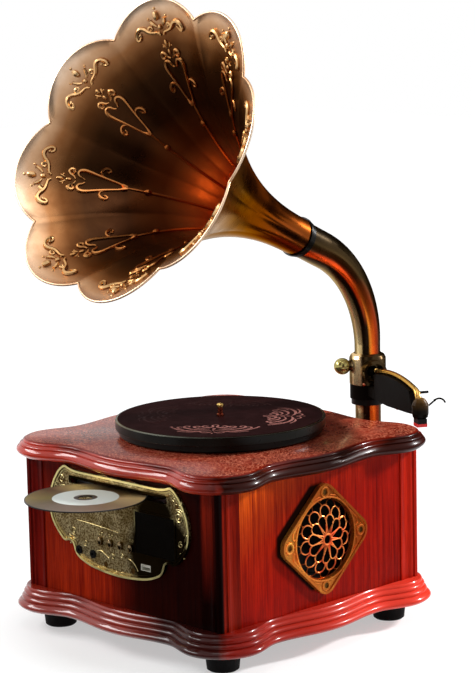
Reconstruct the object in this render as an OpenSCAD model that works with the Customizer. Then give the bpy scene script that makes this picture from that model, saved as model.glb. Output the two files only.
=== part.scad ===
// Table-top gramophone: a moulded wooden cabinet with a platter, a slot for small discs,
// two side speakers, a swinging tonearm and a flower horn on a bent neck.
// The origin is on the floor under the platter's spindle. The front is -Y, the right side +X.

/* [Cabinet] */
// Width of the cabinet body, left to right across its corner posts
body_w = 285; // [280:1:300]
// Depth of the cabinet body, front to back across its corner posts
body_d = 285; // [282:1:300]
// Height of the cabinet body between the two moulded boards
body_h = 137; // [134:1:150]
// Side of each square corner post
post_w = 27; // [25:0.5:30]
// Radius of the rounded outer edge of a corner post
post_round = 4; // [3:0.5:5]
// Radius of the narrow flute cut in each outer face of a post
flute_r = 1.6; // [1.2:0.1:1.8]
// Thickness of the four panels
panel_t = 9; // [8:0.5:11]
// How far the panels lie back from the faces of the posts
panel_setback = 1; // [0.5:0.1:2]

/* [Moulded boards] */
// Thickness of the base board
base_t = 23.5; // [22.5:0.5:26]
// Thickness of the top board
top_t = 18; // [17:0.5:20]
// How far the base board stands out beside its corners
base_flare = 22.5; // [20:0.5:25]
// How far the base board stands out in the middle of each side
base_swell = 20.5; // [18:0.5:24]
// How far the base board stands out at the waists between
base_waist = 11; // [10.5:0.5:13]
// How much less than the base board the top board stands out
top_less = 3; // [0:0.5:5]
// Radius of the boards' rounded corners
board_corner_r = 47; // [42:1:52]
// Where the waist lies, as a share of the way from the middle of a side to its corner
waist_at = 0.61; // [0.5:0.01:0.7]

/* [Feet] */
// Height of a rubber foot
foot_h = 20.5; // [18:0.5:24]
// Radius of a rubber foot where it meets the base board
foot_r = 18; // [15:0.5:20]
// How far a foot's centre lies in from the faces of the body
foot_inset = 22.5; // [20:0.5:30]

/* [Platter] */
// Radius of the platter's upper tier
platter_r = 107.5; // [104:0.5:112]
// Thickness of the platter's upper tier
platter_tier_t = 9; // [8:0.5:11]
// Height of the platter's lower tier
lower_tier_h = 6.5; // [6:0.5:8]
// Gap between the platter and the top board
platter_gap = 1.5; // [1.2:0.1:3]
// Thickness of the mat
mat_t = 1.8; // [1.2:0.1:2.5]
// Radius of the spindle where a record's hole sits
spindle_r = 3.55; // [3.5:0.01:3.6]
// Height of that seat above the mat
seat_h = 2; // [1.5:0.1:3]
// Height of the spindle's cap above the mat
spindle_h = 13.2; // [11:0.2:16]
// Radius of the drive ring under the platter
drive_ring_r = 43; // [38:0.5:50]
// Radius of the motor pulley
pulley_r = 5.3; // [4:0.1:7]
// Distance of the motor shaft from the spindle
motor_reach = 72; // [64:1:80]

/* [Front plate] */
// Thickness of the front plate
plate_t = 2.5; // [2:0.1:3.5]
// Height of the raised border above the plate
border_h = 1.4; // [0.8:0.1:2]
// Width of the raised border
border_w = 2.2; // [1.6:0.1:2.6]
// Width of the disc slot
slot_w = 144; // [126:1:146]
// Height of the disc slot
slot_h = 5.4; // [4.6:0.1:6]
// Depth of the slot below the top board
slot_drop = 17; // [16:0.5:19]
// Distance between the centres of neighbouring buttons
button_pitch = 15.1; // [13:0.1:15.5]
// Width of a button
button_w = 5.2; // [4.4:0.1:6]
// Height of a button
button_h = 8; // [7.2:0.1:9]
// How far a button stands out of the plate
button_reach = 2.6; // [2:0.1:4]
// Radius of the two audio sockets' bores
jack_r = 1.8; // [1.75:0.05:1.9]
// Width of the smoked display window
window_w = 56; // [50:1:57]
// Height of the smoked display window
window_h = 42; // [36:1:44]

/* [Disc] */
// Radius of the small disc
disc_r = 60; // [58:0.5:61]
// Thickness of the small disc
disc_t = 1.2; // [1.1:0.05:1.4]
// Radius of the disc's centre hole
disc_hole_r = 7.5; // [7:0.1:8]
// How far the ejected disc's centre stands in front of the body
disc_out = 43; // [30:1:48]
// How far the disc slides in from there
disc_travel = 116; // [100:1:118]
// Radius of the rubber feed roller
roller_r = 4; // [3.5:0.1:5]

/* [Side grilles] */
// Half the width of a grille plate
grille_half_w = 60; // [56:0.5:64]
// Half the height of a grille plate
grille_half_h = 56; // [54:0.5:60]
// Radius of the grille plate's rounded corners
grille_corner_r = 14; // [12:0.5:16]
// Radius of the round opening in the grille plate
grille_open_r = 41; // [38:0.5:41.5]
// Thickness of the grille plate
grille_t = 4; // [3:0.1:5]
// Number of petals in the rosette
petals = 11; // [9:1:13]
// Width of the rosette's bars
bar_w = 1.7; // [1.4:0.1:2]
// Thickness of the rosette's bars
bar_t = 2.4; // [1.8:0.1:3]

/* [Neck] */
// Distance of the neck tube's axis to the right of the spindle
neck_x = 51; // [45:0.5:60]
// Distance of the neck tube's axis behind the back panel
neck_gap = 26; // [25.5:0.5:34]
// Outer radius of the neck tube
neck_r = 13.5; // [12.5:0.1:14]
// Wall of the neck tube and elbow
neck_wall = 1.5; // [1.2:0.1:2.5]
// Height of the lower end of the neck tube above the floor
neck_foot_z = 60; // [56:1:64]
// Height above the floor where the elbow starts
elbow_z = 273.8; // [270:1:300]
// Radius of the elbow's bend
elbow_bend_r = 118; // [100:1:130]
// Angle through which the elbow bends
elbow_turn = 64; // [55:1:70]
// Outer radius of the elbow's upper end
elbow_end_r = 18.5; // [16:0.5:20]
// Length of the straight stretch after the bend
elbow_lead = 42; // [36:1:50]

/* [Horn] */
// Length of the horn from its collar to the notches between its petals
horn_len = 240; // [220:1:260]
// Radius of the horn's rim at the notches between the petals
notch_r = 138; // [130:1:142]
// Radius of the horn's rim at the tips of the petals
tip_r = 156; // [150:1:160]
// How far a tip lies in front of a notch
tip_lead = 9; // [4:0.5:14]
// Power that gives the flare of the bell
flare_power = 2.28; // [2:0.02:2.6]
// Thickness of the horn's sheet
horn_wall = 1.2; // [0.9:0.1:2]
// Angle by which the petals are turned about the horn's axis
petal_turn = 13.4; // [0:0.2:22]

/* [Tonearm] */
// Height of the needle's tip above the mat
needle_clear = 1.7; // [1.5:0.1:3]
// Distance of the needle from the neck tube's axis
arm_reach = 172; // [170:1:180]
// Direction of the resting arm, turned from straight right towards the back
arm_angle = -30; // [-36:1:-24]
// Outer radius of the carrier round the neck tube
carrier_r = 19.2; // [18.5:0.1:20]
// Height of the carrier
carrier_h = 33; // [32:0.5:38]
// Width of the arm's web
web_w = 11; // [9:0.5:11.5]
// Radius of the arched rod on the arm
rod_r = 2.6; // [2:0.1:3]
// Radius of the ball knob
ball_r = 8.8; // [7.5:0.1:9.5]

/* [Hidden] */
$fn = 48;

// Clearances
slide_fit = 0.3;      // between pieces that move past each other
run_fit = 0.05;       // radial, between a shaft and its hole
bit = 0.5;            // how far a cut runs past the face it opens

// Heights above the floor. The front plate is drawn from a line below the top board
plate_drop = 137;
controls_rise = 64.4;
grille_share = 67 / 137;
base_z = foot_h;
body_z = base_z + base_t;
top_z = body_z + body_h;
deck_z = top_z + top_t;
platter_z = deck_z + platter_gap;
tier_z = platter_z + lower_tier_h;
rim_z = tier_z + platter_tier_t;
mat_z = rim_z - 1.5;
record_z = mat_z + mat_t;
disc_z = top_z - slot_drop;
plate_z = top_z - plate_drop;
controls_z = plate_z + controls_rise;
grille_z = body_z + grille_share * body_h;
needle_z = record_z + needle_clear;

// Faces of the cabinet
front_y = -(body_d / 2 - panel_setback);
side_x = body_w / 2 - panel_setback;
inner_y = body_d / 2 - panel_setback - panel_t;
inner_x = body_w / 2 - panel_setback - panel_t;
neck_y = neck_gap - front_y;

function mix(a, b, t) = a + (b - a) * t;
function turned(p, a) = [p[0] * cos(a) - p[1] * sin(a), p[0] * sin(a) + p[1] * cos(a)];

// A bead between two points of a moulding's profile, bulging out by the given amount
function bead(p, q, out, steps) = [for (i = [0 : steps])
    let (t = i / steps) [mix(p[0], q[0], t) - out * sin(180 * t), mix(p[1], q[1], t)]];

// Reach of a board beyond the body at share t of the way from mid side to corner
function reach(t, swell, waist, flare) = abs(t) < waist_at
    ? (swell + waist) / 2 + (swell - waist) / 2 * cos(180 * abs(t) / waist_at)
    : (flare + waist) / 2 - (flare - waist) / 2 * cos(180 * (abs(t) - waist_at) / (1 - waist_at));

// One level of a moulded board: four serpentine sides and four round corners
side_steps = 16;
corner_steps = 5;
function board_ring(inset, z, less) = [for (k = [0 : 3])
    let (cx = body_w / 2 + base_flare - less - board_corner_r,
        cy = body_d / 2 + base_flare - less - board_corner_r,
        along = k % 2 == 0 ? cx : cy,
        across = k % 2 == 0 ? cy : cx,
        face = k % 2 == 0 ? body_d / 2 : body_w / 2,
        r = board_corner_r - inset)
    each concat(
        [for (i = [0 : side_steps]) let (t = 2 * i / side_steps - 1,
            p = turned([along * t, -(face - inset
                + reach(t, base_swell - less, base_waist - less, base_flare - less))], 90 * k))
            [p[0], p[1], z]],
        [for (i = [1 : corner_steps - 1]) let (a = -90 + 90 * i / corner_steps,
            p = turned([along + r * cos(a), -across + r * sin(a)], 90 * k)) [p[0], p[1], z]])];

// Faces that join rings of points, each ring of n points, into a wall
function wall_faces(rings, n) = [for (j = [0 : rings - 2], i = [0 : n - 1])
    let (a = j * n + i, b = j * n + (i + 1) % n)
    each [[a, a + n, b + n], [a, b + n, b]]];

// A solid board from the rings of its moulded edge, its flat faces fans round their middles
module board(profile, z, less) {
    rings = [for (p = profile) board_ring(p[0], z + p[1], less)];
    n = len(rings[0]);
    m = len(rings);
    polyhedron(
        points = concat([for (ring = rings) each ring], [[0, 0, z], [0, 0, z + profile[m - 1][1]]]),
        faces = concat(wall_faces(m, n), [for (i = [0 : n - 1]) let (j = (i + 1) % n)
            each [[m * n, i, j], [m * n + 1, (m - 1) * n + j, (m - 1) * n + i]]]));
}

// A closed sleeve: rings up the outside, then down the inside, joined into a loop
module sleeve(rings) {
    n = len(rings[0]);
    m = len(rings);
    polyhedron(points = [for (ring = rings) each ring],
        faces = concat(wall_faces(m, n), [for (i = [0 : n - 1])
            let (a = (m - 1) * n + i, b = (m - 1) * n + (i + 1) % n, c = i, d = (i + 1) % n)
            each [[a, c, d], [a, d, b]]]));
}

module tube(r, wall, h) {
    difference() {
        cylinder(r = r, h = h);
        translate([0, 0, -bit]) cylinder(r = r - wall, h = h + 2 * bit);
    }
}

module ring_2d(r, w) {
    difference() {
        circle(r);
        circle(r - w);
    }
}

// Turns a piece drawn towards +Z so that it points forwards, out of the front
module facing_front() rotate([90, 0, 0]) children();
// Turns a piece drawn towards +Z, with its top edge towards +Y, to face right or left
module facing_side(side) rotate([90, 0, side > 0 ? 90 : -90]) children();

// Moulded boards
base_profile = concat([[9, 0]], bead([5, 0.5], [4.2, 9.4], 4.6, 5),
    bead([5.2, 9.8], [7, 14.5], 1.6, 2), bead([7.8, 14.9], [8.8, 19.7], 1.5, 2),
    bead([9.4, 20.1], [10.5, base_t], 0.7, 2));
top_profile = concat([[9, 0]], bead([5.4, 0.4], [2.6, 10.6], 4, 4),
    bead([4, 11], [6.2, 14.2], 1.4, 2), bead([7.4, 14.6], [10.5, top_t], 1.6, 3));

screw_r = 1.7;
foot_x = body_w / 2 - foot_inset;
foot_y = body_d / 2 - foot_inset;
module at_feet() for (x = [-1, 1], y = [-1, 1]) translate([x * foot_x, y * foot_y, 0]) children();

module base_board() color([0.52, 0.11, 0.06]) difference() {
    board(base_profile, base_z, 0);
    at_feet() translate([0, 0, base_z - bit]) cylinder(r = screw_r, h = 14 + bit);
}

bush_r = 8;
shaft_hole_r = 7;
motor_dir = 135;
motor_x = motor_reach * cos(motor_dir);
motor_y = motor_reach * sin(motor_dir);
module top_board() color([0.5, 0.13, 0.09]) difference() {
    board(top_profile, top_z, top_less);
    translate([0, 0, top_z - bit]) cylinder(r = bush_r, h = top_t + 2 * bit);
    translate([motor_x, motor_y, top_z - bit]) cylinder(r = shaft_hole_r, h = top_t + 2 * bit);
}

// Corner post, drawn for the front right corner with its outer edge at +X, -Y
module post_outline() difference() {
    union() {
        translate([0, post_round]) square([post_w, post_w - post_round]);
        square([post_w - post_round, post_w]);
        translate([post_w - post_round, post_round]) circle(post_round);
    }
    for (p = [[post_w - 2 * post_round, 0], [post_w, 2 * post_round]]) translate(p) circle(flute_r);
    // A broad shallow hollow between the narrow flute and the panel
    translate([hollow_at, -hollow_r + hollow_depth]) circle(hollow_r, $fn = 96);
    translate([post_w + hollow_r - hollow_depth, post_w - hollow_at]) circle(hollow_r, $fn = 96);
}
hollow_r = 24;
hollow_depth = 0.9;
hollow_at = 8.5;

module post(x, y) color([0.48, 0.08, 0.04])
    translate([x * (body_w / 2 - post_w), y * (body_d / 2 - post_w), body_z])
    mirror([x < 0 ? 1 : 0, 0, 0]) mirror([0, y > 0 ? 1 : 0, 0])
    translate([0, -post_w, 0]) linear_extrude(body_h) post_outline();

// Panels between the posts
front_span = body_w - 2 * post_w;
side_span = body_d - 2 * post_w;
module front_panel() color([0.62, 0.13, 0.06]) difference() {
    translate([-front_span / 2, front_y, body_z]) cube([front_span, panel_t, body_h]);
    // Openings for the disc, the display, the buttons and the sockets
    translate([0, front_y, 0]) facing_front() translate([0, 0, -panel_t - bit]) {
        at_slot() slab(slot_w + 8, slot_h + 6, panel_t + 2 * bit);
        at_window() slab(window_w - 4, window_h - 4, panel_t + 2 * bit);
        at_data() slab(data_w, data_h, panel_t + 2 * bit);
        at_buttons() linear_extrude(panel_t + 2 * bit) button_outline(2);
        at_sockets() cylinder(r = socket_r + 0.5, h = panel_t + 2 * bit);
    }
    translate([0, front_y, 0]) facing_front() for (p = plate_screw_places)
        translate([p[0], p[1], -panel_t / 2]) cylinder(r = screw_r, h = panel_t);
}

module side_panel(side) color([0.62, 0.13, 0.06]) difference() {
    translate([side > 0 ? inner_x : -inner_x - panel_t, -side_span / 2, body_z])
        cube([panel_t, side_span, body_h]);
    translate([side * inner_x, 0, grille_z]) facing_side(side) {
        translate([0, 0, -bit]) cylinder(r = grille_open_r, h = panel_t + 2 * bit);
        for (p = grille_screw_places) translate([p[0], p[1], panel_t / 2])
            cylinder(r = screw_r, h = panel_t);
    }
}

inlet_x = -80;
inlet_z = body_z + 34;
inlet_r = 12;
bracket_low_z = neck_foot_z + 6;
bracket_high_z = top_z - 34;
bracket_h = 22;
bracket_half_w = 32;
bracket_screw_dx = 25;
module back_panel() color([0.5, 0.1, 0.05]) difference() {
    translate([-front_span / 2, inner_y, body_z]) cube([front_span, panel_t, body_h]);
    translate([inlet_x, inner_y + panel_t + bit, inlet_z]) facing_front()
        cylinder(r = inlet_r, h = panel_t + 2 * bit);
    for (z = [bracket_low_z, bracket_high_z], dx = [-1, 1])
        translate([neck_x + dx * bracket_screw_dx, inner_y + panel_t + bit, z + bracket_h / 2])
        facing_front() cylinder(r = screw_r, h = panel_t / 2 + bit);
}

// Rubber feet, turned, with a recess for the screw
module feet() color([0.05, 0.05, 0.05]) at_feet() rotate_extrude() polygon([[3, 3], [6, 3], [6, 0],
    [foot_r - 4, 0], [foot_r - 2, 1.5], [foot_r, foot_h], [screw_r + 0.3, foot_h],
    [screw_r + 0.3, 5], [3, 5]]);

// A countersunk screw whose head's face is at the origin, pointing down
screw_head_r = 3;
plate_screw_l = 6;
panel_screw_l = 8;
foot_screw_l = foot_h + 7;
module screw(length) {
    translate([0, 0, -1.6]) cylinder(r1 = screw_r, r2 = screw_head_r, h = 1.6);
    translate([0, 0, -length]) cylinder(r = screw_r, h = length - 1.6);
}

plate_screw_places = [for (x = [-1, 1]) each [[x * 86, disc_z - 2], [x * 20, controls_z - 23]]];
grille_screw_places = [for (s = [-1, 1]) each [[s * (grille_half_w - 9), 0], [0, s * (grille_half_h - 8.5)]]];
module screws() color([0.35, 0.26, 0.12]) {
    for (p = plate_screw_places) translate([p[0], front_y - plate_t, p[1]]) facing_front() screw(plate_screw_l);
    for (side = [-1, 1], p = grille_screw_places)
        translate([side * side_x, 0, grille_z]) facing_side(side)
        translate([p[0], p[1], grille_t]) screw(panel_screw_l);
    for (z = [bracket_low_z, bracket_high_z], dx = [-1, 1])
        translate([neck_x + dx * bracket_screw_dx, -front_y + 4, z + bracket_h / 2])
        rotate([-90, 0, 0]) screw(panel_screw_l);
    at_feet() translate([0, 0, 3]) mirror([0, 0, 1]) screw(foot_screw_l);
}

// Front plate: half of its outline from the top middle down to the bottom middle, in X
// and height above plate_z
plate_half = [[0, 131.3], [30, 131.2], [58, 131.3], [70, 132.8], [77.5, 134.8], [86, 129.8],
    [95, 118], [101, 104], [102.5, 90], [99.5, 77], [92, 66], [84, 58.5], [79, 56.3],
    [73, 57.8], [68, 55.5], [65, 48.5], [59.5, 42.3], [42, 36], [20, 33], [0, 32]];
function smooth(p, q, r, s, t) = 0.5 * ((2 * q) + (r - p) * t
    + (2 * p - 5 * q + 4 * r - s) * t * t + (3 * q - p - 3 * r + s) * t * t * t);
plate_steps = 3;
plate_last = len(plate_half) - 1;
plate_right = [for (i = [0 : plate_last - 1], k = [0 : plate_steps - 1])
    smooth(plate_half[max(i - 1, 0)], plate_half[i], plate_half[i + 1],
        plate_half[min(i + 2, plate_last)], k / plate_steps)];
plate_outline = concat(plate_right, [for (i = [plate_last]) plate_half[i]],
    [for (i = [len(plate_right) - 1 : -1 : 1]) [-plate_right[i][0], plate_right[i][1]]]);
// The outline moved in by d along its own normals
function moved_in(pts, d) = [for (i = [0 : len(pts) - 1])
    let (n = len(pts), a = pts[(i + n - 1) % n], b = pts[(i + 1) % n], t = (b - a) / norm(b - a))
    pts[i] + d * [t[1], -t[0]]];

module button_outline(grow) {
    w = button_w / 2 + grow;
    straight = (button_h - button_w) / 2;
    for (s = [-1, 1]) translate([0, s * straight]) circle(w);
    square([2 * w, 2 * straight], center = true);
}
window_x = 53.5;
window_rise = 18;
window_z = controls_z + window_rise;
// From the last button's middle to the window's edge
window_gap = 6.8;
first_button_x = window_x - window_w / 2 - window_gap - 3 * button_pitch;
data_x = 38.7;
data_drop = 16.5;
data_w = 14;
data_h = 6.5;
socket_r = 3.4;
flange_r = 4.4;
// These place what they hold on the front, seen from outside, with +Z out of the plate
module at_slot() translate([0, disc_z]) children();
module at_window() translate([window_x, window_z]) children();
module at_data() translate([data_x, controls_z - data_drop]) children();
module at_buttons() for (i = [0 : 3]) at_button(i) children();
module at_button(i) translate([first_button_x + i * button_pitch, controls_z]) children();
module at_sockets() for (p = [[-59.5, -14.3], [-38.8, -15.5]])
    translate([p[0], controls_z + p[1]]) children();
// A flat block centred on its place
module slab(w, h, t) translate([-w / 2, -h / 2, 0]) cube([w, h, t]);

module front_plate() color([0.55, 0.45, 0.24])
    translate([0, front_y, 0]) facing_front() difference() {
    union() {
        translate([0, plate_z]) linear_extrude(plate_t) polygon(plate_outline);
        // Double raised border
        translate([0, plate_z]) linear_extrude(plate_t + border_h) difference() {
            polygon(plate_outline);
            polygon(moved_in(plate_outline, border_w));
        }
        translate([0, plate_z]) linear_extrude(plate_t + border_h / 2) difference() {
            polygon(moved_in(plate_outline, 1.7 * border_w));
            polygon(moved_in(plate_outline, 2.2 * border_w));
        }
        // Frames of the slot and of the display window
        at_slot() slab(slot_w + 6, slot_h + 6, plate_t + border_h / 2);
        at_window() slab(window_w + 3, window_h + 3, plate_t + border_h / 2);
    }
    translate([0, 0, -bit]) {
        at_slot() slab(slot_w, slot_h, 10);
        at_window() slab(window_w, window_h, 10);
        at_data() slab(data_w, data_h, 10);
        at_buttons() linear_extrude(10) button_outline(slide_fit);
        at_sockets() cylinder(r = socket_r, h = 10);
    }
    // Seats of the sockets' flanges
    translate([0, 0, plate_t]) at_sockets() cylinder(r = flange_r + run_fit, h = 10);
    for (p = plate_screw_places) translate([p[0], p[1], plate_t]) {
        translate([0, 0, -1.6]) cylinder(r1 = screw_r, r2 = screw_head_r, h = 1.6);
        translate([0, 0, -10]) cylinder(r = screw_r, h = 10);
        cylinder(r = screw_head_r, h = 10);
    }
}

module display_window() color([0.03, 0.03, 0.03]) translate([0, front_y, 0]) facing_front()
    at_window() slab(window_w, window_h, plate_t + 0.4);

// The board that the buttons press on, behind the front panel, with the display on it
board_gap = 3;
board_t = 1.6;
board_w = 160;
board_h = 61;
board_left = 76;
board_low = 21;
board_y = front_y + panel_t + board_gap;
button_travel = 1.5;
module control_board() color([0.05, 0.25, 0.12]) {
    translate([-board_left, board_y, controls_z - board_low]) cube([board_w, board_t, board_h]);
    translate([0, board_y, 0]) facing_front() {
        at_buttons() slab(6, 6, board_gap);
        at_window() slab(window_w - 10, window_h - 10, board_gap + 5);
        for (x = [5 - board_left, board_w - board_left - 11], z = [5 - board_low, board_h - board_low - 5])
            translate([x, controls_z + z]) cylinder(r = 2.5, h = board_gap);
    }
}

// A button reaches from its switch to the front of the plate, and a flange keeps it in
module button(i) color([0.62, 0.5, 0.28]) translate([0, front_y, 0]) facing_front() at_button(i) {
    translate([0, 0, button_travel - panel_t])
        linear_extrude(panel_t - button_travel + plate_t + button_reach - 0.8) button_outline(0);
    translate([0, 0, plate_t + button_reach - 0.8]) linear_extrude(0.8) button_outline(-0.7);
    translate([0, 0, -1.6]) linear_extrude(1.4) button_outline(1.4);
}

module audio_sockets() color([0.12, 0.12, 0.12]) translate([0, front_y, 0]) facing_front()
    at_sockets() difference() {
    union() {
        translate([0, 0, -panel_t - board_gap])
            cylinder(r = socket_r, h = panel_t + board_gap + plate_t + 1.2);
        translate([0, 0, plate_t]) cylinder(r = flange_r, h = 0.8);
    }
    translate([0, 0, plate_t + 1.2 - 12]) cylinder(r = jack_r, h = 12 + bit);
}

module data_socket() color([0.75, 0.75, 0.75]) translate([0, board_y, 0]) facing_front()
    at_data() difference() {
    slab(data_w - 0.1, data_h - 0.1, panel_t + board_gap + plate_t);
    // The mouth, round a tongue that carries the contacts
    translate([0, 0, 3]) difference() {
        slab(data_w - 1.2, data_h - 1.2, 20);
        translate([0, 0.9]) slab(data_w - 3, 1.6, panel_t + board_gap + plate_t - 4.5);
    }
}

// Disc drive: a chassis below the disc and a cover above it
drive_w = 148;
drive_front_y = front_y + panel_t + 0.5;
drive_d = 126;
drive_wall = 2;
drive_half_h = 9;
disc_gap_h = 4.6;
roller_y = front_y + panel_t + 12;
roller_z = disc_z - disc_t / 2 - slide_fit - roller_r;
roller_half = 58;
module drive_chassis() color([0.55, 0.56, 0.58]) difference() {
    translate([-drive_w / 2, drive_front_y, disc_z - drive_half_h])
        cube([drive_w, drive_d, drive_half_h]);
    translate([-drive_w / 2 + drive_wall, drive_front_y + drive_wall, disc_z - drive_half_h + drive_wall])
        cube([drive_w - 2 * drive_wall, drive_d - 2 * drive_wall, drive_half_h]);
    // Way in for the disc
    translate([-drive_w / 2 + drive_wall, drive_front_y - bit, disc_z - disc_gap_h / 2])
        cube([drive_w - 2 * drive_wall, drive_wall + 2 * bit, drive_half_h]);
    // Bearings of the feed roller
    translate([-drive_w / 2 - bit, roller_y, roller_z]) rotate([0, 90, 0])
        cylinder(r = 1.5 + run_fit, h = drive_w + 2 * bit);
    // Room for the roller in the floor
    translate([-roller_half - 1, roller_y - roller_r - 1, disc_z - drive_half_h - bit])
        cube([2 * roller_half + 2, 2 * roller_r + 2, drive_wall + 2 * bit]);
}

module drive_cover() color([0.6, 0.61, 0.63]) difference() {
    union() {
        translate([-drive_w / 2, drive_front_y, disc_z]) cube([drive_w, drive_d, drive_half_h]);
        drive_hanger();
    }
    translate([-drive_w / 2 + drive_wall, drive_front_y + drive_wall, disc_z - bit])
        cube([drive_w - 2 * drive_wall, drive_d - 2 * drive_wall, drive_half_h - drive_wall + bit]);
    translate([-drive_w / 2 + drive_wall, drive_front_y - bit, disc_z - bit])
        cube([drive_w - 2 * drive_wall, drive_wall + 2 * bit, disc_gap_h / 2 + bit]);
}
// The cover hangs from the top board by four round spacers
module drive_hanger() for (x = [-1, 1], y = [8, drive_d - 8])
    translate([x * (drive_w / 2 - 8), drive_front_y + y, disc_z + drive_half_h])
    cylinder(r = 4, h = top_z - disc_z - drive_half_h);

module feed_roller() color([0.1, 0.1, 0.1]) translate([0, roller_y, roller_z]) rotate([0, 90, 0]) {
    translate([0, 0, -roller_half]) cylinder(r = roller_r, h = 2 * roller_half);
    translate([0, 0, -drive_w / 2]) cylinder(r = 1.5, h = drive_w);
}

disc_y = -(body_d / 2 + disc_out);
module disc() color([0.2, 0.17, 0.12]) translate([0, disc_y, disc_z - disc_t / 2]) difference() {
    cylinder(r = disc_r, h = disc_t, $fn = 96);
    translate([0, 0, -bit]) cylinder(r = disc_hole_r, h = disc_t + 2 * bit);
}

// Side grille plate: a rounded rhombus with a raised border and a round opening
module rhombus(r) {
    a = grille_half_w - grille_corner_r;
    b = grille_half_h - grille_corner_r;
    lean = atan(a / b);
    polygon([for (corner = [[a, 0, -lean, lean], [0, b, lean, 180 - lean],
        [-a, 0, 180 - lean, 180 + lean], [0, -b, 180 + lean, 360 - lean]], i = [0 : rhombus_steps])
        let (w = mix(corner[2], corner[3], i / rhombus_steps))
        [corner[0] + r * cos(w), corner[1] + r * sin(w)]]);
}
rhombus_steps = 10;

module at_grille(side) translate([side * side_x, 0, grille_z]) facing_side(side) children();

module grille_plate(side) color([0.72, 0.42, 0.16]) at_grille(side) difference() {
    union() {
        linear_extrude(grille_t) rhombus(grille_corner_r);
        linear_extrude(grille_t + 1.2) difference() {
            rhombus(grille_corner_r);
            rhombus(grille_corner_r - 2.6);
            circle(grille_open_r + 0.5);
        }
        linear_extrude(grille_t + 0.8) ring_2d(grille_open_r + 2, 3);
        for (p = grille_screw_places) translate(p) cylinder(r = 5, h = grille_t + 0.9);
    }
    translate([0, 0, -bit]) cylinder(r = grille_open_r, h = 10);
    for (p = grille_screw_places) translate([p[0], p[1], grille_t]) {
        translate([0, 0, -1.6]) cylinder(r1 = screw_r, r2 = screw_head_r, h = 1.6);
        translate([0, 0, -10]) cylinder(r = screw_r, h = 10);
        cylinder(r = screw_head_r, h = 10);
    }
}

// Rosette: a hub ring, a ring of teardrop petals, loops between their tips, and scallops
// between the loops, all cut from one shallow dome
hub_ring_r = 6.2;
drop_tip_r = 25.5;
drop_r = drop_tip_r * sin(180 / petals) * 0.88;
drop_at = drop_tip_r - drop_r;
loop_r = 7.6;
loop_at = 27.6;
scallop_r = 7.6;
scallop_at = grille_open_r - scallop_r;
dome_rise = 6;
dome_z = 1.5;
function drop_points(grow) = let (r = drop_r + grow, d = drop_at - hub_ring_r + 1, open = acos(r / d))
    concat([[hub_ring_r - 1, 0]], [for (i = [0 : 10]) let (a = -(180 - open) * (1 - i / 5))
        [drop_at + r * cos(a), r * sin(a)]]);
module petal_ring(at = 0) for (i = [0 : petals - 1]) rotate(360 * (i + 0.25 + at) / petals) children();
module rosette_pattern() {
    ring_2d(hub_ring_r, 2);
    difference() {
        petal_ring() polygon(drop_points(0));
        petal_ring() polygon(drop_points(-bar_w));
        circle(hub_ring_r - 0.4);
    }
    difference() {
        petal_ring(0.5) translate([loop_at, 0]) ring_2d(loop_r, bar_w);
        petal_ring() polygon(drop_points(-bar_w / 2));
        circle(drop_tip_r - 3);
    }
    difference() {
        petal_ring() translate([scallop_at, 0]) ring_2d(scallop_r, bar_w);
        petal_ring(0.5) translate([loop_at, 0]) circle(loop_r - bar_w / 2);
        circle(scallop_at - 1);
    }
    ring_2d(grille_open_r, 1.8);
}
function dome(r) = dome_z + dome_rise * (1 - pow(r / grille_open_r, 2));
module rosette(side) color([0.75, 0.4, 0.15]) at_grille(side) intersection() {
    linear_extrude(dome_z + dome_rise + bit) rosette_pattern();
    rotate_extrude($fn = 96) polygon(concat([for (r = [0, 14, 28, grille_open_r + bit]) [r, dome(r)]],
        [for (r = [grille_open_r + bit, 28, 14, 0]) [r, dome(r) - bar_t]]));
}

// Speakers behind the side panels, drawn facing +Z with the panel's inner face at zero
cone_r = 36;
magnet_r = 26;
magnet_h = 12;
basket_depth = 22;
coil_r = 12;
module speaker_frame(side) color([0.12, 0.12, 0.13])
    translate([side * inner_x, 0, grille_z]) facing_side(side) rotate_extrude() polygon([
    [cone_r + 1, 0], [grille_open_r + 6, 0], [grille_open_r + 6, -2], [cone_r + 3, -2],
    [magnet_r - 6, -basket_depth], [magnet_r, -basket_depth], [magnet_r, -basket_depth - magnet_h],
    [0, -basket_depth - magnet_h], [0, -basket_depth], [magnet_r - 10, -basket_depth],
    [cone_r + 1, -2.5]]);

module speaker_cone(side) color([0.1, 0.09, 0.09])
    translate([side * inner_x, 0, grille_z]) facing_side(side) rotate_extrude() polygon([
    [0, -9], [8, -11], [cone_r - 4, -1.5], [cone_r - 1, 0.5], [cone_r + 1, 0],
    [cone_r + 1, -1], [cone_r - 3, -3], [coil_r, -14], [coil_r, 2 - basket_depth],
    [0, 2 - basket_depth]]);

// Platter, revolved: two tiers, a recess for the mat, a drive ring and a hub
hub_r = 12;
shaft_r = 4;
ring_wall = 3;
web_z = mat_z - 3.5;
module platter() color([0.05, 0.05, 0.05]) rotate_extrude($fn = 96) polygon([
    [shaft_r, platter_z + 1], [hub_r, platter_z + 1], [hub_r, web_z],
    [drive_ring_r - ring_wall, web_z], [drive_ring_r - ring_wall, tier_z - 3],
    [drive_ring_r, tier_z - 3], [drive_ring_r, web_z], [platter_r - 8.5, web_z],
    [platter_r - 8.5, platter_z], [platter_r - 4.2, platter_z], [platter_r - 3.5, platter_z + 0.7],
    [platter_r - 3.5, tier_z], [platter_r - 0.5, tier_z], [platter_r, tier_z + 0.5],
    [platter_r, rim_z - 0.6], [platter_r - 0.6, rim_z], [platter_r - 2, rim_z],
    [platter_r - 2, mat_z], [shaft_r, mat_z]]);

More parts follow.
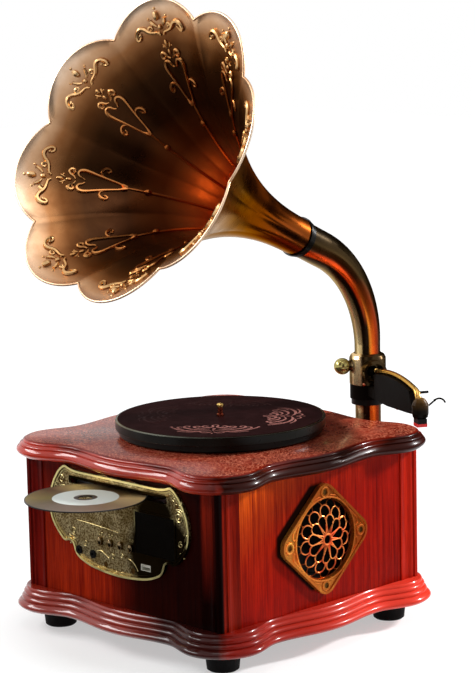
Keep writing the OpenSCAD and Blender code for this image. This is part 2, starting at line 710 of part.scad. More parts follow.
module platter_mat() color([0.16, 0.04, 0.04]) translate([0, 0, mat_z]) difference() {
    cylinder(r = platter_r - 2.5, h = mat_t, $fn = 96);
    translate([0, 0, -bit]) cylinder(r = spindle_r + 0.4, h = mat_t + 2 * bit);
}

spindle_below = 7;
spindle_foot_z = top_z - spindle_below;
cap_h = 3.2;
module spindle() color([0.7, 0.56, 0.3]) rotate_extrude() polygon([
    [0, spindle_foot_z], [shaft_r, spindle_foot_z], [shaft_r, mat_z], [spindle_r - 0.3, mat_z],
    [spindle_r - 0.3, record_z], [spindle_r, record_z], [spindle_r, record_z + seat_h],
    [2.6, record_z + seat_h + 0.6], [2.6, record_z + spindle_h - cap_h],
    [spindle_r, record_z + spindle_h - cap_h + 0.3], [spindle_r, record_z + spindle_h - 1.4],
    [spindle_r - 1.2, record_z + spindle_h - 0.3], [0, record_z + spindle_h]]);

module spindle_bush() color([0.75, 0.6, 0.3]) rotate_extrude() polygon([
    [shaft_r + run_fit, spindle_foot_z + 0.5], [bush_r, spindle_foot_z + 0.5], [bush_r, deck_z],
    [13, deck_z], [13, deck_z + 1], [shaft_r + run_fit, deck_z + 1]]);

// Motor under the top board, its pulley level with the platter's drive ring
motor_r = 17;
motor_h = 26;
shaft_d = 1.5;
pulley_z = tier_z - 3.5;
pulley_h = 6.5;
module motor() color([0.5, 0.5, 0.52]) translate([motor_x, motor_y, top_z]) difference() {
    union() {
        translate([0, 0, -2 - motor_h]) cylinder(r = motor_r, h = motor_h);
        translate([-24, -18, -2]) cube([48, 36, 2]);
    }
    translate([0, 0, -2 - motor_h + 4]) cylinder(r = shaft_d + run_fit, h = motor_h);
}

module motor_pulley() color([0.7, 0.58, 0.3]) translate([motor_x, motor_y, 0]) {
    translate([0, 0, pulley_z]) rotate_extrude() polygon([[0, 0], [pulley_r + 1.2, 0],
        [pulley_r + 1.2, 0.6], [pulley_r, 1.2], [pulley_r, pulley_h - 1.2],
        [pulley_r + 1.2, pulley_h - 0.6], [pulley_r + 1.2, pulley_h], [0, pulley_h]]);
    translate([0, 0, top_z - 2 - motor_h + 5]) cylinder(r = shaft_d, h = pulley_z - top_z + motor_h - 3);
}

// Flat belt round the drive ring and the pulley, with its straight runs on their tangents
belt_t = 0.8;
function arc(x, r, from, to, steps) = [for (i = [0 : steps]) let (a = mix(from, to, i / steps))
    [x + r * cos(a), r * sin(a)]];
function belt_points(grow) = let (big = drive_ring_r + slide_fit + grow,
    small = pulley_r + slide_fit + grow, lean = acos((big - small) / motor_reach))
    concat(arc(0, big, lean, 360 - lean, 36), arc(motor_reach, small, -lean, lean, 8));
module drive_belt() color([0.08, 0.08, 0.08]) translate([0, 0, pulley_z + 1.4]) rotate(motor_dir)
    linear_extrude(pulley_h - 2.8) difference() {
    polygon(belt_points(belt_t));
    polygon(belt_points(0));
}

// Inside on the base board: the amplifier, and the power inlet in the back panel
amp_w = 100;
amp_d = 70;
amp_left = 60;
amp_back = 20;
amp_post_h = 8;
amp_parts_z = amp_post_h + board_t;
heat_sink = [40, 12, 22];
transformer = [26, 22, 20];
can_r = 6;
can_h = 18;
module amplifier_board() color([0.08, 0.3, 0.14]) translate([-amp_left, amp_back, body_z]) {
    for (x = [5, amp_w - 5], y = [5, amp_d - 5]) translate([x, y, 0]) cylinder(r = 3, h = amp_post_h);
    translate([0, 0, amp_post_h]) cube([amp_w, amp_d, board_t]);
    translate([amp_w / 10, amp_d * 4 / 7, amp_parts_z]) cube(heat_sink);
    for (x = [66, 82]) translate([amp_w * x / 100, amp_d * 9 / 14, amp_parts_z]) cylinder(r = can_r, h = can_h);
    translate([amp_w * 0.62, amp_d * 4 / 35, amp_parts_z]) cube(transformer);
}

module power_inlet() color([0.06, 0.06, 0.06]) translate([inlet_x, inner_y + panel_t, inlet_z])
    rotate([-90, 0, 0]) difference() {
    union() {
        cylinder(r = inlet_r + 3, h = 1.5);
        translate([0, 0, -panel_t - 6]) cylinder(r = inlet_r, h = panel_t + 6);
    }
    translate([0, 0, -10]) linear_extrude(12) {
        for (s = [-1, 1]) translate([s * 3.6, 0]) circle(4.4);
        square([7.2, 8.8], center = true);
    }
}

// Brackets that clamp the neck tube to the back panel
module bracket() difference() {
    union() {
        translate([-bracket_half_w, 0, 0]) cube([2 * bracket_half_w, 4, bracket_h]);
        translate([-14, 0, 0]) cube([28, neck_y + front_y, bracket_h]);
        translate([0, neck_y + front_y, 0]) cylinder(r = neck_r + 4.5, h = bracket_h);
    }
    translate([0, neck_y + front_y, -bit]) cylinder(r = neck_r, h = bracket_h + 2 * bit);
    for (dx = [-1, 1]) translate([dx * bracket_screw_dx, 4, bracket_h / 2]) rotate([-90, 0, 0]) {
        translate([0, 0, -1.6]) cylinder(r1 = screw_r, r2 = screw_head_r, h = 1.6);
        translate([0, 0, -8]) cylinder(r = screw_r, h = 8);
        cylinder(r = screw_head_r, h = bit);
    }
}
module neck_brackets() color([0.45, 0.36, 0.18])
    for (z = [bracket_low_z, bracket_high_z]) translate([neck_x, -front_y, z]) bracket();

module neck_tube() color([0.6, 0.42, 0.18]) translate([neck_x, neck_y, neck_foot_z])
    tube(neck_r, neck_wall, elbow_z - neck_foot_z);

// Elbow: a tapering pipe whose rings follow the bend and then a short straight stretch
elbow_steps = 10;
elbow_sides = 24;
function elbow_ring(i, less) = let (t = i / elbow_steps, bent = elbow_turn * min(t, 1),
    ahead = i > elbow_steps ? elbow_lead : 0,
    c = [0, elbow_bend_r * (cos(bent) - 1) - ahead * sin(bent),
        elbow_bend_r * sin(bent) + ahead * cos(bent)],
    r = mix(neck_r, elbow_end_r, min(t, 1)) - less)
    [for (k = [0 : elbow_sides - 1]) let (a = 360 * k / elbow_sides)
        c + [r * cos(a), r * sin(a) * cos(bent), r * sin(a) * sin(bent)]];
module neck_elbow() color([0.6, 0.42, 0.18]) translate([neck_x, neck_y, elbow_z])
    sleeve(concat([for (i = [0 : elbow_steps + 1]) elbow_ring(i, 0)],
        [for (i = [elbow_steps + 1 : -1 : 0]) elbow_ring(i, neck_wall)]));

// Places children at the end of the elbow, with +Z along the horn's axis
module at_horn() translate([neck_x,
        neck_y + elbow_bend_r * (cos(elbow_turn) - 1) - elbow_lead * sin(elbow_turn),
        elbow_z + elbow_bend_r * sin(elbow_turn) + elbow_lead * cos(elbow_turn)])
    rotate([elbow_turn, 0, 0]) children();

// The collar is fixed to the elbow, and the horn's small end turns inside it
collar_h = 14;
collar_r = elbow_end_r + 2.6;
spigot_r = (elbow_end_r - neck_wall) * cos(180 / elbow_sides) - run_fit;
module horn_collar() color([0.75, 0.58, 0.28]) at_horn() rotate_extrude() polygon([
    [elbow_end_r, -8], [elbow_end_r + 1.2, -8], [elbow_end_r + 1.2, -3.5], [collar_r, -2.5],
    [collar_r, 0], [elbow_end_r, 0]]);

// Radius of the horn's rim at an angle a from the middle of a petal
petal_count = 8;
half_petal = 180 / petal_count;
rim_sag = tip_r - notch_r * cos(half_petal);
rim_arc_r = (pow(notch_r * sin(half_petal), 2) + rim_sag * rim_sag) / (2 * rim_sag);
function rim_r(a) = let (c = tip_r - rim_arc_r)
    c * cos(a) + sqrt(rim_arc_r * rim_arc_r - pow(c * sin(a), 2));
petal_steps = 8;
flare_steps = 13;
throat_r = elbow_end_r + 1.2;
// A point of the bell: share t from throat to rim, at step k round the axis
function bell_point(t, k, in) = let (a = 360 * k / (petal_count * petal_steps) + petal_turn,
    off = (k % petal_steps) / petal_steps * 2 * half_petal,
    rim = rim_r(off > half_petal ? off - 2 * half_petal : off),
    s_end = horn_len + tip_lead * (rim - notch_r) / (tip_r - notch_r),
    slope = atan(flare_power * (rim - throat_r) * pow(t, flare_power - 1) / s_end),
    r = throat_r + (rim - throat_r) * pow(t, flare_power) - in * cos(slope),
    s = s_end * t + in * sin(slope))
    [r * cos(a), r * sin(a), s];
module horn_bell() color([0.62, 0.36, 0.16]) at_horn() {
    translate([0, 0, bell_gap]) {
        shares = [for (i = [0 : flare_steps]) pow(i / flare_steps, 0.8)];
        sleeve(concat(
            [for (t = shares) [for (k = [0 : petal_count * petal_steps - 1]) bell_point(t, k, 0)]],
            [for (i = [flare_steps : -1 : 0])
                [for (k = [0 : petal_count * petal_steps - 1]) bell_point(shares[i], k, horn_wall)]]));
    }
    // Spigot that turns inside the end of the elbow
    translate([0, 0, -collar_h]) tube(spigot_r, neck_wall, collar_h + bell_gap + 3);
    translate([0, 0, bell_gap]) tube(throat_r, throat_r - spigot_r + 0.4, 1.5);
}
bell_gap = 0.3;

// Tonearm. Its pieces are drawn with the neck tube's axis at zero and the arm along +X
module at_arm() translate([neck_x, neck_y, 0]) rotate(arm_angle) children();
carrier_z = needle_z + 13;
base_ring_z = record_z;
pivot_x = 23;
pivot_z = carrier_z + 16;

module support_collar() color([0.08, 0.08, 0.08]) translate([neck_x, neck_y, base_ring_z - 6])
    difference() {
    cylinder(r = neck_r + 4, h = 5.7);
    translate([0, 0, -bit]) cylinder(r = neck_r, h = 5.7 + 2 * bit);
}

web_back_x = 39.5;
module carrier_base() color([0.04, 0.04, 0.04]) at_arm() difference() {
    union() {
        translate([0, 0, base_ring_z]) cylinder(r = carrier_r - 0.4, h = carrier_z - base_ring_z);
        translate([0, -web_w / 2, base_ring_z + 5])
            cube([web_back_x - 1, web_w, carrier_z - base_ring_z - 5]);
    }
    translate([0, 0, base_ring_z - bit]) cylinder(r = neck_r + run_fit, h = 40);
}

// Cast block that turns on the neck tube, with a round mouth for the arm
mouth_r = 12.5;
mouth_bore_r = 9.5;
mouth_x = 28;
stem_r = 2.5;
stem_z = pivot_z + 4;
boss_reach = carrier_r + 0.6;
pin_r = 1.5;
module tonearm_carrier() color([0.66, 0.54, 0.28]) at_arm() difference() {
    union() {
        translate([0, 0, carrier_z]) rotate_extrude() polygon([[0, 0], [carrier_r - 1, 0],
            [carrier_r, 1], [carrier_r, carrier_h - 5], [carrier_r - 1.5, carrier_h - 1.8],
            [carrier_r - 4.5, carrier_h], [0, carrier_h]]);
        translate([0, 0, pivot_z]) rotate([0, 90, 0]) cylinder(r = mouth_r, h = mouth_x);
        translate([0, 0, stem_z]) rotate([90, 0, 0]) cylinder(r = 6, h = boss_reach);
    }
    translate([0, 0, carrier_z - bit]) cylinder(r = neck_r + run_fit, h = carrier_h + 2 * bit);
    translate([neck_r + 2, 0, pivot_z]) rotate([0, 90, 0]) cylinder(r = mouth_bore_r, h = 20);
    // Bore for the knob's stem, and for the pin across the mouth
    translate([0, 0, stem_z]) rotate([90, 0, 0]) cylinder(r = stem_r + run_fit, h = 40);
    translate([pivot_x, 20, pivot_z]) rotate([90, 0, 0]) cylinder(r = pin_r, h = 40);
}

// Ball knob on a stem that presses on the neck tube and locks the swing
ball_flat = 6.2;
module lock_knob() color([0.68, 0.56, 0.28]) at_arm() translate([0, 0, stem_z]) rotate([90, 0, 0]) {
    translate([0, 0, neck_r + slide_fit]) cylinder(r = stem_r, h = boss_reach - neck_r + 4);
    translate([0, 0, boss_reach + slide_fit]) cylinder(r = 5, h = 2);
    translate([0, 0, boss_reach + slide_fit + 1.5 + ball_flat]) difference() {
        sphere(r = ball_r);
        translate([0, 0, -ball_r - bit]) cylinder(r = ball_r, h = ball_r - ball_flat + bit);
        // Grip notches round the ball
        for (i = [0 : 11]) rotate(30 * i) translate([ball_r + 0.4, 0, -ball_r])
            cylinder(r = 1.2, h = 2 * ball_r);
    }
}

module arm_pin() color([0.7, 0.7, 0.7]) at_arm() translate([pivot_x, mouth_r - 0.6, pivot_z])
    rotate([90, 0, 0]) cylinder(r = pin_r, h = 2 * mouth_r - 1.2);

// The arched rod on the arm: one long arc, then a tight bend down into the head
apex_x = arm_reach * 0.62;
apex_z = pivot_z + 10;
rod_back_x = pivot_x + 7;
rod_front_x = arm_reach - 16;
rod_bend_r = (pow(apex_x - pivot_x, 2) + pow(apex_z - pivot_z, 2)) / (2 * (apex_z - pivot_z));
rod_lean = asin((rod_front_x - apex_x) / rod_bend_r);
head_bend_r = 14;
head_bend_x = apex_x + (rod_bend_r - head_bend_r) * sin(rod_lean);
head_bend_z = apex_z - rod_bend_r + (rod_bend_r - head_bend_r) * cos(rod_lean);
function rod_height(x) = apex_z - rod_bend_r + sqrt(pow(rod_bend_r, 2) - pow(x - apex_x, 2));
module rod_arc(bend_r, r, from, to) rotate([90, 0, 0]) rotate(from)
    rotate_extrude(angle = to - from, $fn = 96) translate([bend_r, 0]) circle(r, $fn = 32);
module rod_bend(r) translate([head_bend_x, 0, head_bend_z]) rod_arc(head_bend_r, r, 0, 90 - rod_lean);
module tonearm_rod() color([0.75, 0.6, 0.3]) at_arm() {
    translate([apex_x, 0, apex_z - rod_bend_r])
        rod_arc(rod_bend_r, rod_r, 90 - rod_lean, 90 - asin((rod_back_x - apex_x) / rod_bend_r));
    rod_bend(rod_r);
    // Bead over the joint between the two bends
    translate([rod_front_x, 0, rod_height(rod_front_x)]) sphere(r = rod_r + 0.4);
}

// The arm's web: a flat casting under the rod, from the mouth to the head
head_x = arm_reach;
head_back_x = head_x - 7;
web_points = concat([[web_back_x, needle_z + 3.2], [mix(web_back_x, head_back_x, 0.347), needle_z + 4.5],
    [mix(web_back_x, head_back_x, 0.857), needle_z + 10], [head_back_x, needle_z + 12]], [for (i = [12 : -1 : 0])
    let (x = mix(web_back_x, rod_front_x - 4, i / 12)) [x, rod_height(x) - rod_r - 0.1]]);
module tonearm_body() color([0.05, 0.04, 0.03]) at_arm() difference() {
    union() {
        translate([0, web_w / 2, 0]) rotate([90, 0, 0]) linear_extrude(web_w) polygon(web_points);
        // Tail that turns on the pin inside the mouth
        translate([pivot_x, 6, pivot_z]) rotate([90, 0, 0]) cylinder(r = 4, h = 12);
        translate([pivot_x, -4, pivot_z - 6]) cube([web_back_x - pivot_x + 1, 8, 4]);
    }
    translate([pivot_x, 20, pivot_z]) rotate([90, 0, 0]) cylinder(r = pin_r + run_fit, h = 40);
    rod_bend(rod_r + 0.1);
}

// Head shell, turned about the upright line through the needle, with a flat back
head_low_z = needle_z + 9.2;
head_r = 8.3;
head_h = 20;
module head_shell() color([0.06, 0.05, 0.03]) at_arm() difference() {
    translate([head_x, 0, head_low_z]) rotate_extrude() polygon([[0, 0], [head_r - 2.3, 0],
        [head_r - 0.8, 1.2], [head_r, 5], [head_r, 13.5], [head_r - 1.4, 16.5],
        [head_r - 3.4, head_h - 0.8], [head_r - 4.8, head_h], [0, head_h]]);
    translate([head_back_x - 10, -10, head_low_z - bit]) cube([10, 20, head_h + 2 * bit]);
    rod_bend(rod_r);
}

module cartridge() color([0.08, 0.07, 0.07]) at_arm() translate([head_x - 7, -4.7, needle_z + 4.4])
    cube([14, 9.4, head_low_z - needle_z - 4.4]);

module stylus() color([0.9, 0.04, 0.05]) at_arm() translate([head_x, 0, needle_z]) {
    translate([-6, -5.2, 1]) cube([12, 10.4, 3.4]);
    cylinder(r1 = 0.2, r2 = 0.8, h = 1);
}

// Finger lift: a wire that rises from the side of the head and hooks over
lift_r = 0.9;
lift_z = head_low_z + 12;
lift_rise = 38;
lift_run = 8;
lift_hook_r = 7;
module finger_lift() color([0.06, 0.06, 0.06]) at_arm()
    translate([head_x, head_r + lift_r * sin(lift_rise), lift_z])
    rotate([90, 0, 90]) {
    rotate([0, 90, lift_rise]) cylinder(r = lift_r, h = lift_run, $fn = 24);
    translate([lift_run * cos(lift_rise) + lift_hook_r * sin(lift_rise),
        lift_run * sin(lift_rise) - lift_hook_r * cos(lift_rise)]) rotate(20)
        rotate_extrude(angle = 70 + lift_rise, $fn = 96) translate([lift_hook_r, 0])
        circle(lift_r, $fn = 24);
    translate([lift_run * cos(lift_rise), lift_run * sin(lift_rise)]) rotate(lift_rise + 90)
        sphere(r = lift_r + 0.4, $fn = 24);
}

module side_pin() color([0.3, 0.3, 0.3]) at_arm()
    translate([rod_front_x - 8, web_w / 2, rod_height(rod_front_x) - rod_r - 3]) rotate([-90, 0, 0])
    cylinder(r = 1.3, h = 11);

base_board();
top_board();
post(-1, -1);  // post_front_left
post(1, -1);  // post_front_right
post(-1, 1);  // post_back_left
post(1, 1);  // post_back_right
front_panel();
side_panel(1);  // right_panel
side_panel(-1);  // left_panel
back_panel();
feet();
screws();
front_plate();
display_window();
button(0);  // button_1
button(1);  // button_2
button(2);  // button_3
button(3);  // button_4
audio_sockets();
data_socket();
control_board();
drive_chassis();
drive_cover();
feed_roller();
disc();
grille_plate(1);  // grille_right
rosette(1);  // rosette_right
speaker_frame(1);  // speaker_frame_right
speaker_cone(1);  // speaker_cone_right
grille_plate(-1);  // grille_left
rosette(-1);  // rosette_left
speaker_frame(-1);  // speaker_frame_left
speaker_cone(-1);  // speaker_cone_left
platter();
platter_mat();
spindle();
spindle_bush();
motor();
motor_pulley();
drive_belt();
amplifier_board();
power_inlet();
neck_brackets();
neck_tube();
neck_elbow();
horn_collar();
horn_bell();
support_collar();
tonearm_carrier();
carrier_base();
lock_knob();
arm_pin();
tonearm_body();
tonearm_rod();
head_shell();
cartridge();
stylus();
finger_lift();
side_pin();
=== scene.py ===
# %% [markdown]
# # A table gramophone with a flower horn
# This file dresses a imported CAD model. The model is loaded as a fixed frame, each piece of it gets
# a finish, and the pieces whose curves need more care than the CAD mesh gives are made again here.
# Everything is in the frame of the CAD model: the origin is on the floor under the platter's
# spindle, the front is -Y and the right side +X. Blender works in metres. The sizes of pieces are
# written in mm and multiplied by MM.

# %% Load the frame
import bisect
import math

import bmesh
import bpy
from mathutils import Matrix, Vector


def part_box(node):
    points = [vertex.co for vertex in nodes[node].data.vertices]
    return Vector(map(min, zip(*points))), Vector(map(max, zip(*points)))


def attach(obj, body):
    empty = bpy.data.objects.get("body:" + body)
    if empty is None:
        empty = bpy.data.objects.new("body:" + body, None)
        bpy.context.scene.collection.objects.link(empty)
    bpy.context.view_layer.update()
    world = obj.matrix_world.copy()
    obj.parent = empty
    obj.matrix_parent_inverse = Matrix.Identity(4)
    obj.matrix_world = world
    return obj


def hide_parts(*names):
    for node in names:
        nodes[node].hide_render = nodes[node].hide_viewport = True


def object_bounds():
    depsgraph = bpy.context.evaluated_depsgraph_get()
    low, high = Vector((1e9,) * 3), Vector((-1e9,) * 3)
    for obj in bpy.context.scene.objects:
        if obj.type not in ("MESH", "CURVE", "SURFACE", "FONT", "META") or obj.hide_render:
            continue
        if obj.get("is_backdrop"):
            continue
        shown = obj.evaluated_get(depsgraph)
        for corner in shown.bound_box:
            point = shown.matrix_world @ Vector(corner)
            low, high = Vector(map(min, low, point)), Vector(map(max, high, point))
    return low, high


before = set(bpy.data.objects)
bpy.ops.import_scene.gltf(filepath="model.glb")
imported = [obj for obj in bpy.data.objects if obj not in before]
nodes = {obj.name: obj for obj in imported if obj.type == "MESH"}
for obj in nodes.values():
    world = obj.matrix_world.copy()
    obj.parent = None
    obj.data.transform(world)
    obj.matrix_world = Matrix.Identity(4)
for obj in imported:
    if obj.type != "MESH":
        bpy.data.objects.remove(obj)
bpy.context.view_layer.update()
scene = bpy.context.scene

# %% [markdown]
# ## Places that several cells share
# These are the CAD model's own sizes, in mm and degrees. The neck is a tube behind the cabinet that
# bends over towards the front, and the horn starts at the end of the straight stretch after the
# bend. A grille sits on either side, and the slot with the small disc is in the front.

# %% Shared places
MM = 0.001
NECK_X = 51
NECK_Y = 167.5
NECK_TOP = 273.8
BEND_R = 118
BEND_ANGLE = 64
LEAD = 42
SIDE_X = 141.5
GRILLE_Z = 111
GRILLE_TIP_X = 46
GRILLE_TIP_Y = 42
PLATE_FACE_Y = -144
SLOT_Z = 164
BOARD_TOP = 199

tilt = math.radians(BEND_ANGLE)
horn_axis = Vector((0, -math.sin(tilt), math.cos(tilt)))
neck_foot = Vector((NECK_X, NECK_Y, 0)) * MM
bend_centre = Vector((NECK_X, NECK_Y - BEND_R, NECK_TOP)) * MM
horn_start = bend_centre + Vector((0, BEND_R * math.cos(tilt), BEND_R * math.sin(tilt))) * MM
horn_start += horn_axis * LEAD * MM
grille_edge = Vector((GRILLE_TIP_Y, GRILLE_TIP_X)).normalized()
print("the horn starts at", horn_start)

# %% [markdown]
# ## Camera
# The photograph was taken from the front right corner, a little above the cabinet, with a long
# lens. The numbers come from fitting the cabinet's corners and the horn's rim to the picture. A
# camera in Blender looks along its own -Z, so its three axes are written straight into a matrix.

# %% Camera
IMAGE_WIDTH = 475
IMAGE_HEIGHT = 673
SENSOR = 36
FOCAL_PX = 2600
CAMERA_TURN = 45.517
azimuth = math.radians(CAMERA_TURN)
elevation = math.radians(9.9073)
roll = math.radians(-1.2371)
camera_distance = 2.6423
aim_right = 0.0193
aim_height = 0.2980

back = Vector((math.sin(azimuth) * math.cos(elevation), -math.cos(azimuth) * math.cos(elevation),
               math.sin(elevation)))
right = Vector((math.cos(azimuth), math.sin(azimuth), 0))
up = back.cross(right)
aim = right * aim_right + Vector((0, 0, aim_height))
rolled_right = right * math.cos(roll) + up * math.sin(roll)
rolled_up = up * math.cos(roll) - right * math.sin(roll)

lens = bpy.data.cameras.new("Camera")
lens.sensor_width = SENSOR
lens.lens = FOCAL_PX / max(IMAGE_WIDTH, IMAGE_HEIGHT) * SENSOR
lens.clip_start = 0.05
lens.clip_end = 60
camera = bpy.data.objects.new("Camera", lens)
turn = Matrix((rolled_right, rolled_up, back)).transposed()
camera.matrix_world = Matrix.Translation(aim + back * camera_distance) @ turn.to_4x4()
scene.collection.objects.link(camera)
scene.camera = camera
print("camera at", camera.location, "lens", round(lens.lens, 1), "mm")

# %% [markdown]
# ## Helpers for nodes
# A material in Blender is a small network of nodes. Each helper adds one kind of node, wires its
# inputs and gives back the output that is wanted, so that a network reads like a calculation. A mask
# is a value from 0 to 1 that says how much of something a place gets. The product of two masks is
# the place that lies in both.

# %% Node helpers
WHITE = (1, 1, 1, 1)


def wire(tree, value, socket):
    """Fills an input with a plain value or with another node's output."""
    if isinstance(value, bpy.types.NodeSocket):
        tree.links.new(value, socket)
    else:
        socket.default_value = value


def add(tree, kind, inputs=None, **settings):
    """Adds a node with its settings and inputs."""
    node = tree.nodes.new(kind)
    for key, value in settings.items():
        setattr(node, key, value)
    for socket, value in (inputs or {}).items():
        wire(tree, value, node.inputs[socket])
    return node


def maths(tree, kind, first, second):
    """One sum with two values."""
    return add(tree, "ShaderNodeMath", {0: first, 1: second}, operation=kind).outputs[0]


def product(tree, *values):
    """The product of all the values."""
    total = values[0]
    for value in values[1:]:
        total = maths(tree, "MULTIPLY", total, value)
    return total


def spread(tree, value, low, high, out_low=0.0, out_high=1.0):
    """Maps low..high to out_low..out_high, held at both ends."""
    return add(tree, "ShaderNodeMapRange", {"Value": value, "From Min": low, "From Max": high,
               "To Min": out_low, "To Max": out_high}).outputs[0]


def until(tree, value, low, high):
    """A mask that is 1 up to low and 0 from high on."""
    return spread(tree, value, low, high, 1, 0)


def vector_maths(tree, kind, first, second=(0, 0, 0)):
    """One sum with two vectors that gives a vector."""
    return add(tree, "ShaderNodeVectorMath", {0: first, 1: second}, operation=kind).outputs["Vector"]


def measure(tree, kind, first, second=(0, 0, 0)):
    """One sum with two vectors that gives a value, such as a length, a distance or a dot product."""
    return add(tree, "ShaderNodeVectorMath", {0: first, 1: second}, operation=kind).outputs["Value"]


def axes_of(tree, vector):
    """The X, Y and Z of a vector."""
    return add(tree, "ShaderNodeSeparateXYZ", {"Vector": vector}).outputs


def noise(tree, vector, scale, detail, **more):
    """Clouds of values round 0.5."""
    inputs = {"Vector": vector, "Scale": scale, "Detail": detail, **more}
    return add(tree, "ShaderNodeTexNoise", inputs).outputs["Fac"]


print("node helpers ready")

# %% [markdown]
# ## Helpers for colours
# Colours are written as they show on screen, from 0 to 255, because that is how they are read off a
# picture. Blender reckons with linear light, so each one is turned into that first.

# %% Colour helpers


def colour(red, green, blue):
    """A colour from its values on screen."""
    def linear(value):
        share = value / 255
        return share / 12.92 if share <= 0.04045 else ((share + 0.055) / 1.055) ** 2.4
    return (linear(red), linear(green), linear(blue), 1)


def blend_colours(tree, share, first, second, kind="MIX"):
    """The output of a colour mix: first where share is 0, second where it is 1."""
    # The node has inputs for every kind of value, so those for colours go by their numbers
    mix = add(tree, "ShaderNodeMix", data_type="RGBA", blend_type=kind)
    for number, value in ((0, share), (6, first), (7, second)):
        wire(tree, value, mix.inputs[number])
    return mix.outputs[2]


def ramp_of(tree, value, stops, factors=False):
    """A colour ramp. A stop is a place from 0 to 1 and three numbers: a colour on screen, or factors."""
    ramp = add(tree, "ShaderNodeValToRGB", {"Fac": value})
    points = ramp.color_ramp.elements
    while len(points) < len(stops):
        points.new(0.5)
    for point, (place, *tone) in zip(points, stops):
        point.position = place
        point.color = (*tone, 1) if factors else colour(*tone)
    return ramp.outputs["Color"]


print("mid grey is", round(colour(128, 128, 128)[0], 3), "in linear light")

# %% [markdown]
# ## Room
# The photograph shows the object on plain white. The world gives an even light, and a second, pure
# white world is shown to the camera and to reflections only, so that the background is white without
# more light on the object.

# %% World


def seen_share(tree):
    """1 for what the camera sees, by itself or in a reflection, and 0 for the light on the object."""
    rays = add(tree, "ShaderNodeLightPath").outputs
    mirrored_too = maths(tree, "ADD", rays["Is Camera Ray"], rays["Is Glossy Ray"])
    return maths(tree, "ADD", mirrored_too, rays["Is Transmission Ray"])


ROOM_LIGHT = 0.29
world = bpy.data.worlds.new("Studio")
scene.world = world
world.use_nodes = True
room = world.node_tree
room.nodes.clear()
lit = add(room, "ShaderNodeBackground", {"Color": WHITE, "Strength": ROOM_LIGHT})
white = add(room, "ShaderNodeBackground", {"Color": WHITE, "Strength": 1})
either = add(room, "ShaderNodeMixShader", {0: seen_share(room), 1: lit.outputs[0], 2: white.outputs[0]})
add(room, "ShaderNodeOutputWorld", {"Surface": either.outputs[0]})
scene.view_settings.view_transform = "Standard"
print("room light", ROOM_LIGHT)

# %% [markdown]
# ## Floor
# The floor does the same as the room: to the camera most of its colour is its own glow, and the rest
# is lit, so that a soft shadow stays. Under the object less of it glows, which makes the shadow
# deeper there.

# %% Floor
SHADOW_INNER = 0.19
SHADOW_OUTER = 0.27
FLOOR_GLOW = 1.2


def flat_sheet(name, width, height, place, facing):
    """A flat rectangle with its middle at a place, turned towards another point."""
    mesh = bmesh.new()
    bmesh.ops.create_grid(mesh, x_segments=1, y_segments=1, size=0.5)
    bmesh.ops.scale(mesh, vec=(width, height, 1), verts=mesh.verts)
    turned = (Vector(facing) - Vector(place)).to_track_quat("Z", "Y").to_matrix().to_4x4()
    bmesh.ops.transform(mesh, matrix=Matrix.Translation(place) @ turned, verts=mesh.verts)
    data = bpy.data.meshes.new(name)
    mesh.to_mesh(data)
    mesh.free()
    made = bpy.data.objects.new(name, data)
    scene.collection.objects.link(made)
    return made


floor = flat_sheet("floor", 9, 9, (0, 0, 0), (0, 0, 1))
floor_paint = bpy.data.materials.new("floor paint")
floor_paint.use_nodes = True
tree = floor_paint.node_tree
tree.nodes.clear()
from_axis = measure(tree, "LENGTH", add(tree, "ShaderNodeTexCoord").outputs["Object"])
glow_share = product(tree, seen_share(tree), spread(tree, from_axis, SHADOW_INNER, SHADOW_OUTER, 0.4, 0.8))
matt = add(tree, "ShaderNodeBsdfDiffuse", {"Color": (0.9, 0.9, 0.9, 1)})
glow = add(tree, "ShaderNodeEmission", {"Color": WHITE, "Strength": FLOOR_GLOW})
either = add(tree, "ShaderNodeMixShader", {0: glow_share, 1: matt.outputs[0], 2: glow.outputs[0]})
add(tree, "ShaderNodeOutputMaterial", {"Surface": either.outputs[0]})
floor.data.materials.append(floor_paint)
floor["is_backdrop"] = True
print("floor", floor.dimensions)

# %% [markdown]
# ## Lamps
# Polished metal shows what stands round it. Three soft boxes, at the front left, behind on the
# right and above, give the light and the broad highlights.

# %% Lamps
middle = Vector((0, 0, 0.25))


def from_middle(azimuth_deg, elevation_deg, distance):
    """A place seen from the object's middle; azimuth 0 is in front, 90 at its right."""
    a = math.radians(azimuth_deg)
    e = math.radians(elevation_deg)
    return middle + distance * Vector((math.sin(a) * math.cos(e), -math.cos(a) * math.cos(e), math.sin(e)))


def soft_box(name, azimuth_deg, elevation_deg, distance, width, height, power):
    """A rectangular lamp that shines at the object's middle."""
    data = bpy.data.lights.new(name, "AREA")
    data.shape = "RECTANGLE"
    data.size = width
    data.size_y = height
    data.energy = power
    lamp = bpy.data.objects.new(name, data)
    lamp.location = from_middle(azimuth_deg, elevation_deg, distance)
    lamp.rotation_euler = (lamp.location - middle).to_track_quat("Z", "Y").to_euler()
    scene.collection.objects.link(lamp)
    print(name, power, "W")


soft_box("left lamp", -50, 34, 1.9, 1.5, 0.45, 26)
soft_box("right lamp", 153, 25, 2.4, 0.25, 0.3, 88)
soft_box("top lamp", 40, 78, 1.8, 1.0, 1.0, 6)

# %% [markdown]
# ## Dark cards
# A few dark sheets, which only reflections see, give the metal and the varnish the deep streaks that
# they have in the photograph. Three of them stand on the floor round the neck tube and draw the dark
# streaks down its side.

# %% Dark cards
dark = bpy.data.materials.new("dark card")
dark.use_nodes = True
dark_shader = dark.node_tree.nodes["Principled BSDF"]
dark_shader.inputs["Base Color"].default_value = (0.008, 0.006, 0.005, 1)
dark_shader.inputs["Roughness"].default_value = 1
dark_shader.inputs["Specular IOR Level"].default_value = 0


